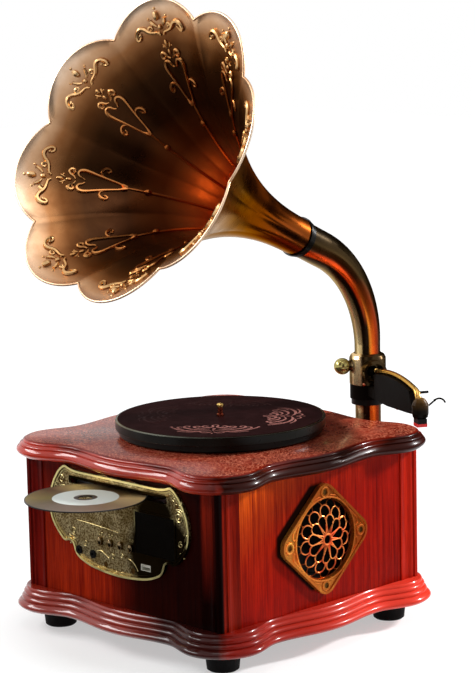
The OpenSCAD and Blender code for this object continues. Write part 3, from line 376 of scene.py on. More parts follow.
def dark_card(name, place, facing, width, height):
    """A dark sheet that only reflections see."""
    card = flat_sheet(name, width, height, place, facing)
    card.data.materials.append(dark)
    card.visible_camera = False
    card.visible_diffuse = False
    card.visible_shadow = False
    card.visible_transmission = False
    card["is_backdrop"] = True


dark_card("right card", from_middle(61, 18, 2.6), middle, 1.5, 2.4)
dark_card("back card", from_middle(192, 12, 2.6), middle, 3.4, 2.8)
for name, x, y, width, height in (("front floor card", -0.18, -0.62, 1.24, 0.86),
                                  ("right floor card", 0.64, 0.5, 0.66, 0.9)):
    dark_card(name, Vector((x, y, 0.002)), Vector((x, y, 1)), width, height)
for name, azimuth_deg, away, width, height in (("front streak card", 27, 1.2, 1.36, 0.2),
                                               ("rear streak card", 192, 1.2, 2.2, 0.25),
                                               ("left streak card", -119, 1.25, 0.8, 0.2)):
    a = math.radians(azimuth_deg)
    raise_to_middle = Vector((0, 0, height / 2))
    foot = neck_foot + away * Vector((math.sin(a), -math.cos(a), 0))
    dark_card(name, foot + raise_to_middle, neck_foot + raise_to_middle, width, height)
print("cards placed")

# %% [markdown]
# ## Groups for finishes
# Wood, worn metal and plain moulded or pressed surfaces each come back in several materials, so each
# is a group that is built once. A group gives a colour, a roughness and a height; the material holds
# the shader, because the colour of a coat or the strength of a gloss is set there for each finish.
#
# Wood is three noises: broad bands, fibres and dark pores.

# %% Wood group


def new_group(name, colours, values):
    """An empty group with its inputs, which gives a colour, a roughness and a height."""
    group = bpy.data.node_groups.new(name, "ShaderNodeTree")
    group.interface.new_socket("Vector", in_out="INPUT", socket_type="NodeSocketVector")
    for kind, sockets in (("NodeSocketColor", colours), ("NodeSocketFloat", values)):
        for socket, value in sockets.items():
            group.interface.new_socket(socket, in_out="INPUT", socket_type=kind).default_value = value
    group.interface.new_socket("Color", in_out="OUTPUT", socket_type="NodeSocketColor")
    for socket in ("Roughness", "Height"):
        group.interface.new_socket(socket, in_out="OUTPUT", socket_type="NodeSocketFloat")
    return group, group.nodes.new("NodeGroupInput").outputs, group.nodes.new("NodeGroupOutput").inputs


wood, given, result = new_group("Wood", {"Dark": colour(70, 16, 8), "Light": colour(170, 60, 25)},
                                {"Gloss": 0.3})
bands = noise(wood, given["Vector"], 1, 5, Roughness=0.6, Distortion=0.5)
fibres = noise(wood, given["Vector"], 4.2, 4, Roughness=0.7)
pores = spread(wood, noise(wood, given["Vector"], 9, 2), 0.58, 0.7, 0, 0.45)
streaks = maths(wood, "ADD", product(wood, bands, 0.6), product(wood, fibres, 0.4))
stained = blend_colours(wood, spread(wood, streaks, 0.36, 0.64), given["Dark"], given["Light"])
wire(wood, blend_colours(wood, pores, stained, colour(40, 8, 4)), result["Color"])
wire(wood, maths(wood, "ADD", given["Gloss"], product(wood, fibres, 0.12)), result["Roughness"])
wire(wood, maths(wood, "SUBTRACT", streaks, pores), result["Height"])
print("wood group", len(wood.nodes), "nodes")

# %% [markdown]
# Worn metal is clouds of tarnish over a bright colour, duller where it is tarnished. A grain 22 times
# as fine gives it a relief.

# %% Metal group
metal, given, result = new_group(
    "Worn metal", {"Bright": colour(200, 150, 80), "Tarnish": colour(90, 50, 20)},
    {"Scale": 20, "Tarnished": 0.5, "Gloss": 0.25})
clouds = noise(metal, given["Vector"], given["Scale"], 5, Roughness=0.62)
grain = noise(metal, given["Vector"], product(metal, given["Scale"], 22), 3)
share = product(metal, spread(metal, clouds, 0.38, 0.62), given["Tarnished"])
wire(metal, blend_colours(metal, share, given["Bright"], given["Tarnish"]), result["Color"])
wire(metal, maths(metal, "ADD", given["Gloss"], product(metal, share, 0.25)), result["Roughness"])
wire(metal, maths(metal, "ADD", grain, product(metal, clouds, 0.5)), result["Height"])
print("metal group", len(metal.nodes), "nodes")

# %% [markdown]
# The plain group is for rubber, plastic, paper, cloth and paint: one colour, a little mottled, with a
# grain 15 times as fine as the mottling.

# %% Plain group
plain, given, result = new_group("Moulded surface", {"Color": colour(30, 30, 30)},
                                 {"Scale": 60, "Variation": 0.3, "Gloss": 0.4})
mottle = noise(plain, given["Vector"], given["Scale"], 4, Roughness=0.6)
grain = noise(plain, given["Vector"], product(plain, given["Scale"], 15), 2)
share = product(plain, spread(plain, mottle, 0.35, 0.65), given["Variation"])
varied = blend_colours(plain, share, given["Color"], (0.6, 0.55, 0.5, 1), "MULTIPLY")
wire(plain, varied, result["Color"])
wire(plain, maths(plain, "ADD", given["Gloss"], product(plain, mottle, 0.15)), result["Roughness"])
wire(plain, grain, result["Height"])
print("plain group", len(plain.nodes), "nodes")

# %% [markdown]
# ## Materials
# One function makes a material from a group: it stretches the object's own coordinates, places the
# group, and wires colour, roughness and a fine bump into a Principled shader. A stretch of unlike
# numbers turns round noise into fibres: wood grain is noise pulled out along the board.
#
# The photograph's reflections lie as light and dark streaks over the pieces. Some of them are held
# in the materials. The function repaint lays a tone over the colour that a material has so far, tint
# multiplies that colour, and both can be called again and again.

# %% Material maker


def finish(name, group, stretch=(1, 1, 1), bump=0.1, depth=0.0002, shader=None, **values):
    """A material from a group, with values for the group's inputs and for the shader's sockets."""
    made = bpy.data.materials.new(name)
    made.use_nodes = True
    tree = made.node_tree
    principled = tree.nodes["Principled BSDF"]
    coordinates = add(tree, "ShaderNodeTexCoord").outputs["Object"]
    mapped = add(tree, "ShaderNodeMapping", {"Vector": coordinates, "Scale": stretch}).outputs["Vector"]
    surface = add(tree, "ShaderNodeGroup", node_tree=group)
    wire(tree, mapped, surface.inputs["Vector"])
    for socket, value in values.items():
        wire(tree, value, surface.inputs[socket])
    relief = add(tree, "ShaderNodeBump", {"Strength": bump, "Distance": depth,
                 "Height": surface.outputs["Height"]})
    wire(tree, surface.outputs["Color"], principled.inputs["Base Color"])
    wire(tree, surface.outputs["Roughness"], principled.inputs["Roughness"])
    wire(tree, relief.outputs["Normal"], principled.inputs["Normal"])
    for socket, value in (shader or {}).items():
        wire(tree, value, principled.inputs[socket])
    return made


def parts_of(material):
    """The network of a material and its plain object coordinates."""
    tree = material.node_tree
    return tree, next(n for n in tree.nodes if n.type == "TEX_COORD").outputs["Object"]


def set_shader(material, socket, value):
    """Fills an input of a material's shader."""
    wire(material.node_tree, value, material.node_tree.nodes["Principled BSDF"].inputs[socket])


def repaint(material, tone, share=1.0, kind="MIX"):
    """Lays a tone over a material's colour where the mask share says so."""
    tree = material.node_tree
    before = tree.nodes["Principled BSDF"].inputs["Base Color"].links[0].from_socket
    set_shader(material, "Base Color", blend_colours(tree, share, before, tone, kind))


def tint(material, factors, share=1.0):
    """Multiplies a material's colour where the mask share says so."""
    repaint(material, factors, share, "MULTIPLY")


def shade_across(material, stops, turn_deg=CAMERA_TURN, span=0.2, middle_at=(0, 0, 0)):
    """Paints light and shade onto a material by a ramp across it, along a level line at an angle from +X.
    """
    tree, coordinates = parts_of(material)
    a = math.radians(turn_deg)
    offset = vector_maths(tree, "SUBTRACT", coordinates, middle_at)
    across = measure(tree, "DOT_PRODUCT", offset, (math.cos(a), math.sin(a), 0))
    tint(material, ramp_of(tree, spread(tree, across, -span, span), stops, factors=True))


def shade_around(material, stops, span=0.05):
    """Paints shade onto a material by a ramp that goes by the distance from the grilles' axis."""
    tree, coordinates = parts_of(material)
    level = vector_maths(tree, "SUBTRACT", coordinates, (0, 0, GRILLE_Z * MM))
    out = measure(tree, "LENGTH", vector_maths(tree, "MULTIPLY", level, (0, 1, 1)))
    tint(material, ramp_of(tree, spread(tree, out, 0, span), stops, factors=True))


FRONT_REACH = 0.15


def shade_front(material, low_stops, high_stops):
    """Paints light and shade onto the faces at the front by a ramp along X, one low down and one high up.
    """
    tree, coordinates = parts_of(material)
    x, y, z = axes_of(tree, coordinates)
    along = spread(tree, x, -FRONT_REACH, FRONT_REACH)
    low, high = (ramp_of(tree, along, stops, factors=True) for stops in (low_stops, high_stops))
    tones = blend_colours(tree, spread(tree, z, 0.07, 0.16), low, high)
    tint(material, tones, until(tree, y, -0.1395, -0.138))


print("material maker ready")

# %% [markdown]
# ## Wood
# The boards are varnished, with the grain lying flat. The panels and posts have a satin finish and an
# upright grain.

# %% Wood materials
varnish = {"Coat Roughness": 0.07, "Specular IOR Level": 0.06}
satin = {"Coat Weight": 0.03, "Coat Roughness": 0.15, "Specular IOR Level": 0.03}
board_wood = finish("board mahogany", wood, (9, 9, 150), bump=0.25, shader=varnish,
                    Dark=colour(72, 7, 2), Light=colour(136, 30, 10), Gloss=0.22)
panel_wood = finish("panel mahogany", wood, (330, 330, 9), bump=0.3, shader=satin,
                    Dark=colour(118, 14, 2), Light=colour(200, 64, 14), Gloss=0.3)
post_wood = finish("post mahogany", wood, (150, 150, 6), bump=0.2, shader=satin,
                   Dark=colour(92, 8, 3), Light=colour(140, 26, 10), Gloss=0.26)
print("three kinds of mahogany")

# %% [markdown]
# The front panel and posts have painted light and shade: lit from the left, black towards the near corner
# and darker high up under the top board, and high up the near post has a thin painted band of light. The
# panels at the front and left are painted darker than those at the right and back. Past the near corner the
# posts are painted browner, and the one at the back right is painted lit. The side panels are painted
# nearly black, as shade, behind the grilles' openings.

# %% Tones of panels and posts
shade_front(panel_wood,
            [(0, 1, 0.9, 0.8), (0.42, 1.05, 0.8, 0.6), (0.5, 0.35, 0.26, 0.26), (0.57, 0.08, 0.07, 0.08),
             (1, 0.03, 0.02, 0.03)],
            [(0, 0.36, 0.16, 0.2), (0.15, 0.4, 0.2, 0.2), (0.4, 0.36, 0.2, 0.2), (0.6, 0.1, 0.06, 0.06),
             (1, 0.03, 0.02, 0.03)])
shade_front(post_wood,
            [(0, 0.62, 0.4, 0.3), (0.12, 0.62, 0.4, 0.3), (0.88, 0.03, 0.02, 0.02),
             (1, 0.02, 0.015, 0.02)],
            [(0, 0.4, 0.2, 0.2), (0.12, 0.4, 0.2, 0.2), (0.885, 0.04, 0.03, 0.03), (0.9, 0.8, 1.1, 0.8),
             (0.935, 0.6, 0.8, 0.6), (0.955, 0.03, 0.02, 0.02), (1, 0.02, 0.015, 0.02)])
shade_around(panel_wood, [(0, 0.02, 0.02, 0.02), (0.93, 0.02, 0.02, 0.02), (0.94, 1, 1, 1),
                          (1, 1, 1, 1)])
shade_across(panel_wood, [(0, 0.62, 0.5, 0.5), (0.48, 0.6, 0.46, 0.42), (0.5, 1, 1, 1), (1, 1, 1, 1)])
shade_across(post_wood, [(0, 1, 1, 1), (0.4955, 1, 1, 1), (0.5, 0.9, 0.9, 0.5), (0.6, 0.9, 0.9, 0.5),
                         (0.8, 1.8, 1.3, 0.9), (1, 1.8, 1.3, 0.9)])
print("panels and posts shaded")

# %% [markdown]
# The grille's casting throws a hard shadow on the right panel, which is painted: the lozenge with its cut
# tips is drawn again there, moved a little to the front and up. A painted light ramp makes the panel deep
# red low down and towards the back, and orange towards its upper front corner.

# %% Tones of the right panel
CAST_SHADOW_AT = (0, -0.0075, 0.114)
tree, coordinates = parts_of(panel_wood)
on_right = spread(tree, axes_of(tree, coordinates)["X"], 0.13, 0.135)
away = vector_maths(tree, "ABSOLUTE", vector_maths(tree, "SUBTRACT", coordinates, CAST_SHADOW_AT))
over_edge = measure(tree, "DOT_PRODUCT", away, (0, *grille_edge))
aside = axes_of(tree, away)
inside = product(tree, until(tree, over_edge, 0.0445, 0.0475), until(tree, aside["Y"], 0.056, 0.0595),
                 until(tree, aside["Z"], 0.052, 0.0555))
repaint(panel_wood, colour(20, 6, 3), product(tree, inside, on_right))
# Painted light: the panel turns from deep red to orange towards its upper front corner.
towards_corner = measure(tree, "DOT_PRODUCT", coordinates, (0, -0.6, 1))
tint(panel_wood, ramp_of(tree, spread(tree, towards_corner, 0.116, 0.236), [
    (0, 0.6, 0.12, 0.1), (0.45, 0.7, 0.3, 0.2), (0.75, 0.9, 0.9, 0.5), (1, 1.25, 2, 0.9)],
    factors=True), on_right)
print("right panel shaded")

# %% [markdown]
# The top board's upper face is flecked. The mouldings at the front are painted a brighter red, as light,
# that dies away into a near corner painted dark, as shade; the base board's right side is painted red with
# light that grows towards the back, and the top board's right edge is painted dark, as shade. The coat of
# varnish is strongest on the front mouldings. It is weaker on the upper face, at the shaded corner and on
# the right side.

# %% Tones of the boards
TOP_FACE = BOARD_TOP * MM
TOP_ARRIS = (TOP_FACE - 0.0015, TOP_FACE - 0.0005)
BETWEEN_BOARDS = (0.06, 0.07)
CORNER_FADE = 0.05
PLAIN_COAT = 0.36
TOP_COAT = 0.1
tree, coordinates = parts_of(board_wood)
x, y, z = axes_of(tree, coordinates)
upper_face = spread(tree, z, TOP_FACE - 0.0004, TOP_FACE - 0.0001)
below_top = until(tree, z, *TOP_ARRIS)
on_base = until(tree, z, *BETWEEN_BOARDS)
on_top_board = spread(tree, z, *BETWEEN_BOARDS)
past_corner = spread(tree, maths(tree, "ADD", x, y), -0.006, 0.008)
front_edge = product(tree, until(tree, y, -0.149, -0.144), below_top)
flecks = product(tree, upper_face, spread(tree, noise(tree, coordinates, 640, 2), 0.49, 0.6))
shaded_side = product(tree, spread(tree, x, 0.14, 0.15), spread(tree, z, 0.1, 0.18), below_top)
lit_side = product(tree, past_corner, spread(tree, x, 0.13, 0.14), on_base)
dark_from = spread(tree, z, *BETWEEN_BOARDS, 0.015, 0.1)
over = maths(tree, "DIVIDE", maths(tree, "SUBTRACT", x, dark_from), CORNER_FADE)
shaded_corner = product(tree, maths(tree, "SUBTRACT", 1, past_corner), until(tree, y, -0.14, -0.13),
                      spread(tree, over, 0, 1, 0, 0.88), below_top)

repaint(board_wood, colour(186, 104, 78), flecks)
# Painted shade on the top board's right edge, painted light on the front mouldings and the base board's
# right side, and painted shade at the near corner.
repaint(board_wood, colour(44, 10, 4), shaded_side)
lit_front_red = blend_colours(tree, on_top_board, colour(150, 44, 30), colour(196, 54, 34))
repaint(board_wood, lit_front_red, product(tree, front_edge, 0.75))
lit_side_red = blend_colours(tree, spread(tree, y, -0.11, 0.08), colour(128, 18, 8), colour(236, 62, 44))
repaint(board_wood, lit_side_red, product(tree, lit_side, 0.75))
repaint(board_wood, colour(20, 4, 4), shaded_corner)

coat = spread(tree, z, *TOP_ARRIS, PLAIN_COAT, TOP_COAT)
for mask, more in ((front_edge, 0.4), (shaded_corner, -0.5), (shaded_side, -0.3), (lit_side, -0.22)):
    coat = maths(tree, "ADD", coat, product(tree, mask, more))
set_shader(board_wood, "Coat Weight", coat)
print("boards shaded")

# %% [markdown]
# ## Metals
# Every metal is the same group. After its two colours come the scale of its clouds, how far it is
# tarnished, its roughness, and, where they aren't the usual ones, its relief and how metallic it is.
# The reflections take a warm tint at flat angles.

# %% Metals
EDGE_TINT = (0.8, 0.62, 0.42, 1)


def shine(metallic):
    """The shader's values for a metal."""
    return {"Metallic": metallic, "Specular Tint": EDGE_TINT}


def metal_finish(name, bright, tarnish, scale, tarnished, gloss, bump=0.05, metallic=1.0, **more):
    """A worn metal from two colours on screen."""
    return finish(name, metal, bump=bump, shader=shine(metallic), Bright=colour(*bright),
                  Tarnish=colour(*tarnish), Scale=scale, Tarnished=tarnished, Gloss=gloss, **more)


gold = metal_finish("gold brass", (214, 168, 92), (120, 74, 30), 30, 0.7, 0.2)
streaked_brass = metal_finish("brass with painted streaks", (255, 240, 205), (196, 164, 120), 45, 0.6, 0.13, 0.06, 0.8)
rod_gold = metal_finish("rod gold", (222, 178, 100), (160, 112, 52), 60, 0.5, 0.16, 0.02)
plate_gilt = metal_finish("plate gilding", (222, 206, 150), (130, 110, 66), 80, 0.6, 0.22)
dark_brass = metal_finish("dark brass", (128, 92, 48), (52, 34, 16), 90, 0.8, 0.3, 0.1)
grille_copper = metal_finish("grille copper", (255, 178, 84), (206, 100, 38), 40, 0.8, 0.18, 0.08, 0.7)
rosette_copper = metal_finish("rosette copper", (250, 156, 84), (196, 62, 40), 70, 0.9, 0.2, 0.03)
screw_copper = metal_finish("screw copper", (232, 140, 104), (170, 86, 60), 200, 0.4, 0.2, 0.03)
button_silver = metal_finish("button silver", (150, 130, 98), (66, 50, 32), 120, 0.5, 0.13)
platter_edge = metal_finish("platter edge", (120, 124, 112), (60, 62, 56), 30, 0.6, 0.16, 0.02)
steel = metal_finish("pressed steel", (178, 180, 184), (120, 122, 126), 25, 0.5, 0.32, 0.06)
port_steel = finish("port steel", metal, bump=0.03, shader={"Metallic": 0.2},
                    Bright=colour(232, 230, 218), Tarnish=colour(170, 166, 150), Scale=120, Gloss=0.3)

# The carrier has painted reflections: one bright band between dark streaks, and its knob at the left is
# painted half as bright.
# The grille's casting is painted duller towards the back, as shade, and the rosette is painted dark at its
# foot, as shade.
shade_across(streaked_brass, [(0, 0.46, 0.46, 0.24), (0.235, 0.46, 0.46, 0.24), (0.25, 0.07, 0.05, 0.03),
                         (0.285, 0.12, 0.09, 0.05), (0.305, 1, 0.9, 0.74), (0.39, 1, 0.88, 0.7),
                         (0.42, 0.05, 0.035, 0.02), (1, 0.025, 0.016, 0.01)],
             span=0.04, middle_at=neck_foot)
shade_across(grille_copper, [(0, 1, 1, 0.9), (0.25, 0.95, 0.8, 0.6), (0.55, 0.5, 0.34, 0.22),
                             (1, 0.55, 0.3, 0.18)], span=0.044, middle_at=(SIDE_X * MM, 0, 0))
shade_around(rosette_copper, [(0, 1, 1, 1), (0.66, 1, 1, 1), (0.72, 0.16, 0.12, 0.1),
                              (1, 0.16, 0.12, 0.1)])
# Painted highlight: the platter's rolled edges are bright at the left and fade to near black at the right.
shade_across(platter_edge, [(0, 1, 1, 1), (0.2, 0.7, 0.7, 0.7), (0.5, 0.12, 0.12, 0.12),
                            (1, 0.04, 0.04, 0.04)], span=0.11)
print("twelve metals")

# %% [markdown]
# The upper end of the spindle is a gold cap, and below it the spindle is copper red.

# %% Spindle metal
CAP_LENGTH = 3.5
spindle_metal = finish("spindle", metal, bump=0.02, shader=shine(1.0), Bright=WHITE,
                       Tarnish=(0.8, 0.75, 0.7, 1), Scale=90, Gloss=0.18)
tree, coordinates = parts_of(spindle_metal)
cap_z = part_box("spindle")[1][2] - CAP_LENGTH * MM
on_cap = spread(tree, axes_of(tree, coordinates)["Z"], cap_z - 0.0004, cap_z)
tint(spindle_metal, blend_colours(tree, on_cap, colour(150, 70, 52), colour(236, 200, 120)))
print("cap from", round(cap_z, 4))

# %% [markdown]
# ## Neck
# The neck has painted reflections as long streaks, cream at the left, black in the middle and fire orange
# at the right. A ramp goes across the pipe as the camera sees it. How far a point lies behind the pipe's
# middle line comes from its distance to the bend's centre, so the painted streaks follow the bend, and they
# change to a second ramp as it rises.

# %% Neck copper
neck_copper = finish("neck copper", metal, (1, 1, 0.4), bump=0.04, shader=shine(0.75), Bright=WHITE,
                     Tarnish=(0.82, 0.78, 0.72, 1), Scale=14, Tarnished=0.8, Gloss=0.12)
PIPE_R = 0.0136
PIPE_GROWTH = 0.042
tree, coordinates = parts_of(neck_copper)
x, y, z = axes_of(tree, vector_maths(tree, "SUBTRACT", coordinates, bend_centre))
rise = maths(tree, "MAXIMUM", z, 0)
reach_out = add(tree, "ShaderNodeCombineXYZ", {"X": 0, "Y": y, "Z": rise}).outputs["Vector"]
behind = maths(tree, "SUBTRACT", measure(tree, "LENGTH", reach_out), BEND_R * MM)
across = maths(tree, "ADD", product(tree, behind, math.sin(azimuth)), product(tree, x, math.cos(azimuth)))
pipe_r = maths(tree, "ADD", PIPE_R, product(tree, rise, PIPE_GROWTH))
share = spread(tree, maths(tree, "DIVIDE", across, pipe_r), -1, 1)
# Painted reflection streaks, first for the upright tube and then for the bend.
upright = ramp_of(tree, share, [
    (0, 64, 50, 22), (0.07, 160, 138, 88), (0.12, 255, 232, 176), (0.24, 236, 204, 144),
    (0.31, 34, 22, 9), (0.52, 26, 14, 6), (0.57, 255, 156, 50), (0.68, 255, 108, 28),
    (0.8, 176, 56, 12), (0.92, 44, 16, 5), (1, 26, 14, 6)])
bent = ramp_of(tree, share, [
    (0, 96, 82, 38), (0.08, 176, 154, 96), (0.18, 120, 100, 58), (0.28, 34, 22, 9),
    (0.42, 28, 14, 6), (0.48, 255, 96, 26), (0.58, 236, 76, 18), (0.68, 84, 36, 12),
    (0.84, 58, 42, 15), (0.95, 40, 28, 10), (1, 24, 16, 6)])
tint(neck_copper, blend_colours(tree, spread(tree, z, 0.02, 0.075), upright, bent))
print("neck streaks follow a bend of", BEND_R, "mm")

# %% [markdown]
# ## Plate brass
# Antique brass is dark in its hollows and bright where hands rub it. Fine noise punches the ground, and the
# raised rim is bright. A painted shadow lies as a dark band along the upper edge of the slot. The right
# part of the plate lies in two round painted shadows, and they reach its outer rim at the lower corner
# only.

# %% Plate brass
antique = metal_finish("antique plate brass", (232, 214, 164), (132, 110, 68), 60, 0.9, 0.3, 0.45,
                       depth=0.0004)
tree, coordinates = parts_of(antique)
depth_in = axes_of(tree, coordinates)["Y"]
punched = spread(tree, noise(tree, coordinates, 520, 2), 0.42, 0.6)
tint(antique, blend_colours(tree, punched, WHITE, (0.3, 0.22, 0.14, 1)))

face = PLATE_FACE_Y * MM
outer_ridge = until(tree, depth_in, face - 0.0011, face - 0.0009)
inner_ridge = spread(tree, depth_in, face - 0.0006, face - 0.0003, 0.45, 0)
from_slot = vector_maths(tree, "SUBTRACT", coordinates, (0, 0, SLOT_Z * MM))
above_slot = axes_of(tree, from_slot)["Z"]
aside = axes_of(tree, vector_maths(tree, "ABSOLUTE", from_slot))
off_slot = maths(tree, "MAXIMUM", spread(tree, aside["X"], 0.0762, 0.0768),
                 spread(tree, aside["Z"], 0.0068, 0.0072))
raised = maths(tree, "MAXIMUM", outer_ridge, inner_ridge)
repaint(antique, colour(252, 238, 168), product(tree, raised, off_slot))
# Painted shadow: a dark band along the upper edge of the slot.
slot_shade = product(tree, spread(tree, above_slot, -0.001, 0), until(tree, above_slot, 0.0052, 0.0057),
                     until(tree, aside["X"], 0.0716, 0.0722))
repaint(antique, colour(10, 8, 5), slot_shade)


def round_shadow(x, y, z, inner, outer):
    """A mask that is 1 near a place and fades out between two distances, all in metres."""
    return until(tree, measure(tree, "DISTANCE", coordinates, (x, y, z)), inner, outer)


gloom = maths(tree, "MAXIMUM", round_shadow(0.062, face, 0.106, 0.041, 0.054),
              round_shadow(0.054, face, 0.144, 0.022, 0.034))
rim_gloom = product(tree, outer_ridge, round_shadow(0.094, face - 0.001, 0.098, 0.023, 0.028))
shadow = maths(tree, "MAXIMUM", maths(tree, "SUBTRACT", gloom, outer_ridge), rim_gloom)
repaint(antique, colour(26, 20, 12), shadow)
print("plate brass", len(tree.nodes), "nodes")

# %% [markdown]
# ## Plain surfaces
# Plastic, rubber, paper, cloth and paint are the plain group. After the colour come the scale of the
# mottling and the roughness, and, where they aren't the usual ones, the relief, how much light the surface
# gives back and how mottled it is. The head's bronze is painted in light and shade: black below and
# brighter towards its top. The ink of the mat is painted dark, as shade, towards the back and the left, and
# keeps its colour towards the front and the right.

# %% Plain surfaces


def plain_finish(name, tone, scale, gloss, bump=0.05, specular=0.5, variation=0.3):
    """A plain surface from a colour on screen."""
    return finish(name, plain, bump=bump, shader={"Specular IOR Level": specular}, Color=colour(*tone),
                  Scale=scale, Variation=variation, Gloss=gloss)


rubber = plain_finish("foot rubber", (13, 11, 11), 90, 0.6, 0.3, 0.1)
belt_rubber = plain_finish("belt rubber", (22, 22, 22), 200, 0.6, 0.2)
black_plastic = plain_finish("black plastic", (16, 14, 13), 70, 0.32, 0.1, 0.12)
collar_black = plain_finish("collar black", (12, 9, 6), 60, 0.2, 0.05, 0.08)
arm_black = plain_finish("arm enamel", (13, 9, 6), 40, 0.45, 0.05, 0.02)
platter_black = plain_finish("platter black", (17, 18, 14), 60, 0.22, 0.06, 0.16)
smoked = plain_finish("smoked window", (11, 8, 5), 30, 0.1, 0.02, 0.2)
cone_paper = plain_finish("cone paper", (13, 11, 10), 160, 0.75, 0.5, 0.02, 0.5)
mat_cloth = plain_finish("platter mat", (30, 9, 9), 60, 0.6, 0.3, 0.01, 0.8)
mat_ink = plain_finish("mat ink", (150, 100, 94), 260, 0.5, 0.3, 0.01, 0.9)
needle_red = plain_finish("needle red", (226, 18, 18), 150, 0.3, 0.05, 0.5, 0.2)
circuit = plain_finish("circuit board", (20, 86, 44), 200, 0.35, 0.2, 0.5, 0.6)
head_bronze = plain_finish("head bronze", (255, 255, 255), 60, 0.26, 0.05, 0.06, 0.4)
tree, coordinates = parts_of(head_bronze)
# Painted light and shade: the head is black below and brighter towards its top.
up_the_head = spread(tree, axes_of(tree, coordinates)["Z"], 0.227, 0.248)
tint(head_bronze, ramp_of(tree, up_the_head, [
    (0, 9, 7, 5), (0.4, 20, 14, 7), (0.75, 66, 45, 20), (1, 118, 84, 40)]))
# Painted shade: the mat's ink is dark towards the back and the left.
shade_across(mat_ink, [(0, 0.05, 0.03, 0.03), (0.5, 0.08, 0.05, 0.05), (0.68, 1, 1, 1), (1, 1, 1, 1)],
             turn_deg=-12, span=0.1)
print("thirteen plain surfaces")

# %% [markdown]
# ## Disc
# The small disc has a black middle, a pale label, a coated ring and a thin black rim. The coat's colour
# holds painted sheens that turn round the disc's middle, as light on fine grooves does.

# %% Disc coating
disc_middle = Vector((0, -185.5, 164.6)) * MM
DISC_R = 60
EDGE_BLACK = (16, 13, 10)
LABEL = (214, 224, 218)
disc_coat = finish("disc coating", plain, bump=0.0, shader={"Anisotropic": 0.5}, Gloss=0.3)
tree, coordinates = parts_of(disc_coat)
level = vector_maths(tree, "MULTIPLY", vector_maths(tree, "SUBTRACT", coordinates, disc_middle), (1, 1, 0))
out = spread(tree, measure(tree, "LENGTH", level), 0, DISC_R * MM)
turned = add(tree, "ShaderNodeTexGradient", {"Vector": level}, gradient_type="RADIAL").outputs["Fac"]
# Painted sheen: the coat's tones turn round the disc's middle.
sheen = ramp_of(tree, turned, [
    (0, 92, 74, 46), (0.12, 112, 98, 26), (0.2, 94, 80, 48), (0.27, 104, 90, 72), (0.42, 122, 102, 76),
    (0.5, 150, 130, 96), (0.6, 226, 204, 156), (0.66, 120, 98, 62), (0.8, 96, 78, 50),
    (0.9, 200, 178, 128), (1, 92, 74, 46)])
rings = ramp_of(tree, out, [
    (0, *EDGE_BLACK), (0.19, *EDGE_BLACK), (0.2, *LABEL), (0.545, *LABEL), (0.555, 0, 0, 0),
    (0.98, 0, 0, 0), (0.985, *EDGE_BLACK)])
coated = product(tree, spread(tree, out, 0.545, 0.555), until(tree, out, 0.98, 0.985))
set_shader(disc_coat, "Base Color", blend_colours(tree, coated, rings, sheen))
set_shader(disc_coat, "Metallic", product(tree, coated, 0.75))
print("disc coating", len(tree.nodes), "nodes")

# %% [markdown]
# ## Horn metals
# Inside, the horn is painted with light and shade from its reflections: it runs from a red throat through
# an orange glow to near black and comes up to pale copper at the rim. A ramp along the horn's axis gives
# these tones, in mm from the throat, and clouds of wear lie over it. The raised ornament has a ramp of its
# own with painted light and shade of the same kind, and the outside has one of its own too.

# %% Horn metals
RAMP_REACH = 250


def horn_finish(name, stops, gloss, wear, metallic=1.0):
    """Worn metal whose colour follows the horn's depth, as painted light and shade inside the horn; a stop
    is mm from the throat and a colour.
    """
    made = finish(name, metal, bump=0.03, shader=shine(metallic), Bright=WHITE, Tarnish=wear, Scale=11,
                  Tarnished=0.8, Gloss=gloss)
    tree, coordinates = parts_of(made)
    along = measure(tree, "DOT_PRODUCT", coordinates, horn_axis)
    start = horn_axis.dot(horn_start)
    share = spread(tree, along, start, start + RAMP_REACH * MM)
    tint(made, ramp_of(tree, share, [(depth / RAMP_REACH, *tone) for depth, *tone in stops]))
    print(name, len(stops), "tones")
    return made


# Painted reflections inside: red throat, orange glow, near black middle and a pale rim.
horn_inside = horn_finish("horn inside", [
    (0, 80, 30, 10), (40, 140, 64, 26), (80, 208, 124, 66), (112, 216, 138, 78), (142, 118, 62, 26),
    (172, 58, 29, 11), (204, 58, 32, 13), (219, 96, 58, 28), (230, 154, 106, 66), (240, 216, 178, 142),
    (249, 248, 224, 200)], 0.22, (0.68, 0.54, 0.42, 1), 0.85)
# Painted light and shade on the raised ornament, along the same depth.
horn_relief = horn_finish("horn relief", [
    (0, 90, 40, 16), (60, 160, 84, 36), (122, 206, 120, 62), (160, 150, 84, 40), (205, 190, 128, 74),
    (226, 226, 176, 116), (249, 240, 206, 158)], 0.2, (0.7, 0.62, 0.52, 1))
horn_outside = horn_finish("horn outside", [
    (0, 132, 66, 26), (60, 116, 52, 18), (140, 98, 44, 16), (210, 130, 76, 36), (249, 214, 168, 118)],
    0.18, (0.5, 0.4, 0.3, 1))

# %% [markdown]
# ## Which piece has which finish
# Each CAD node keeps its shape and gets its material here.

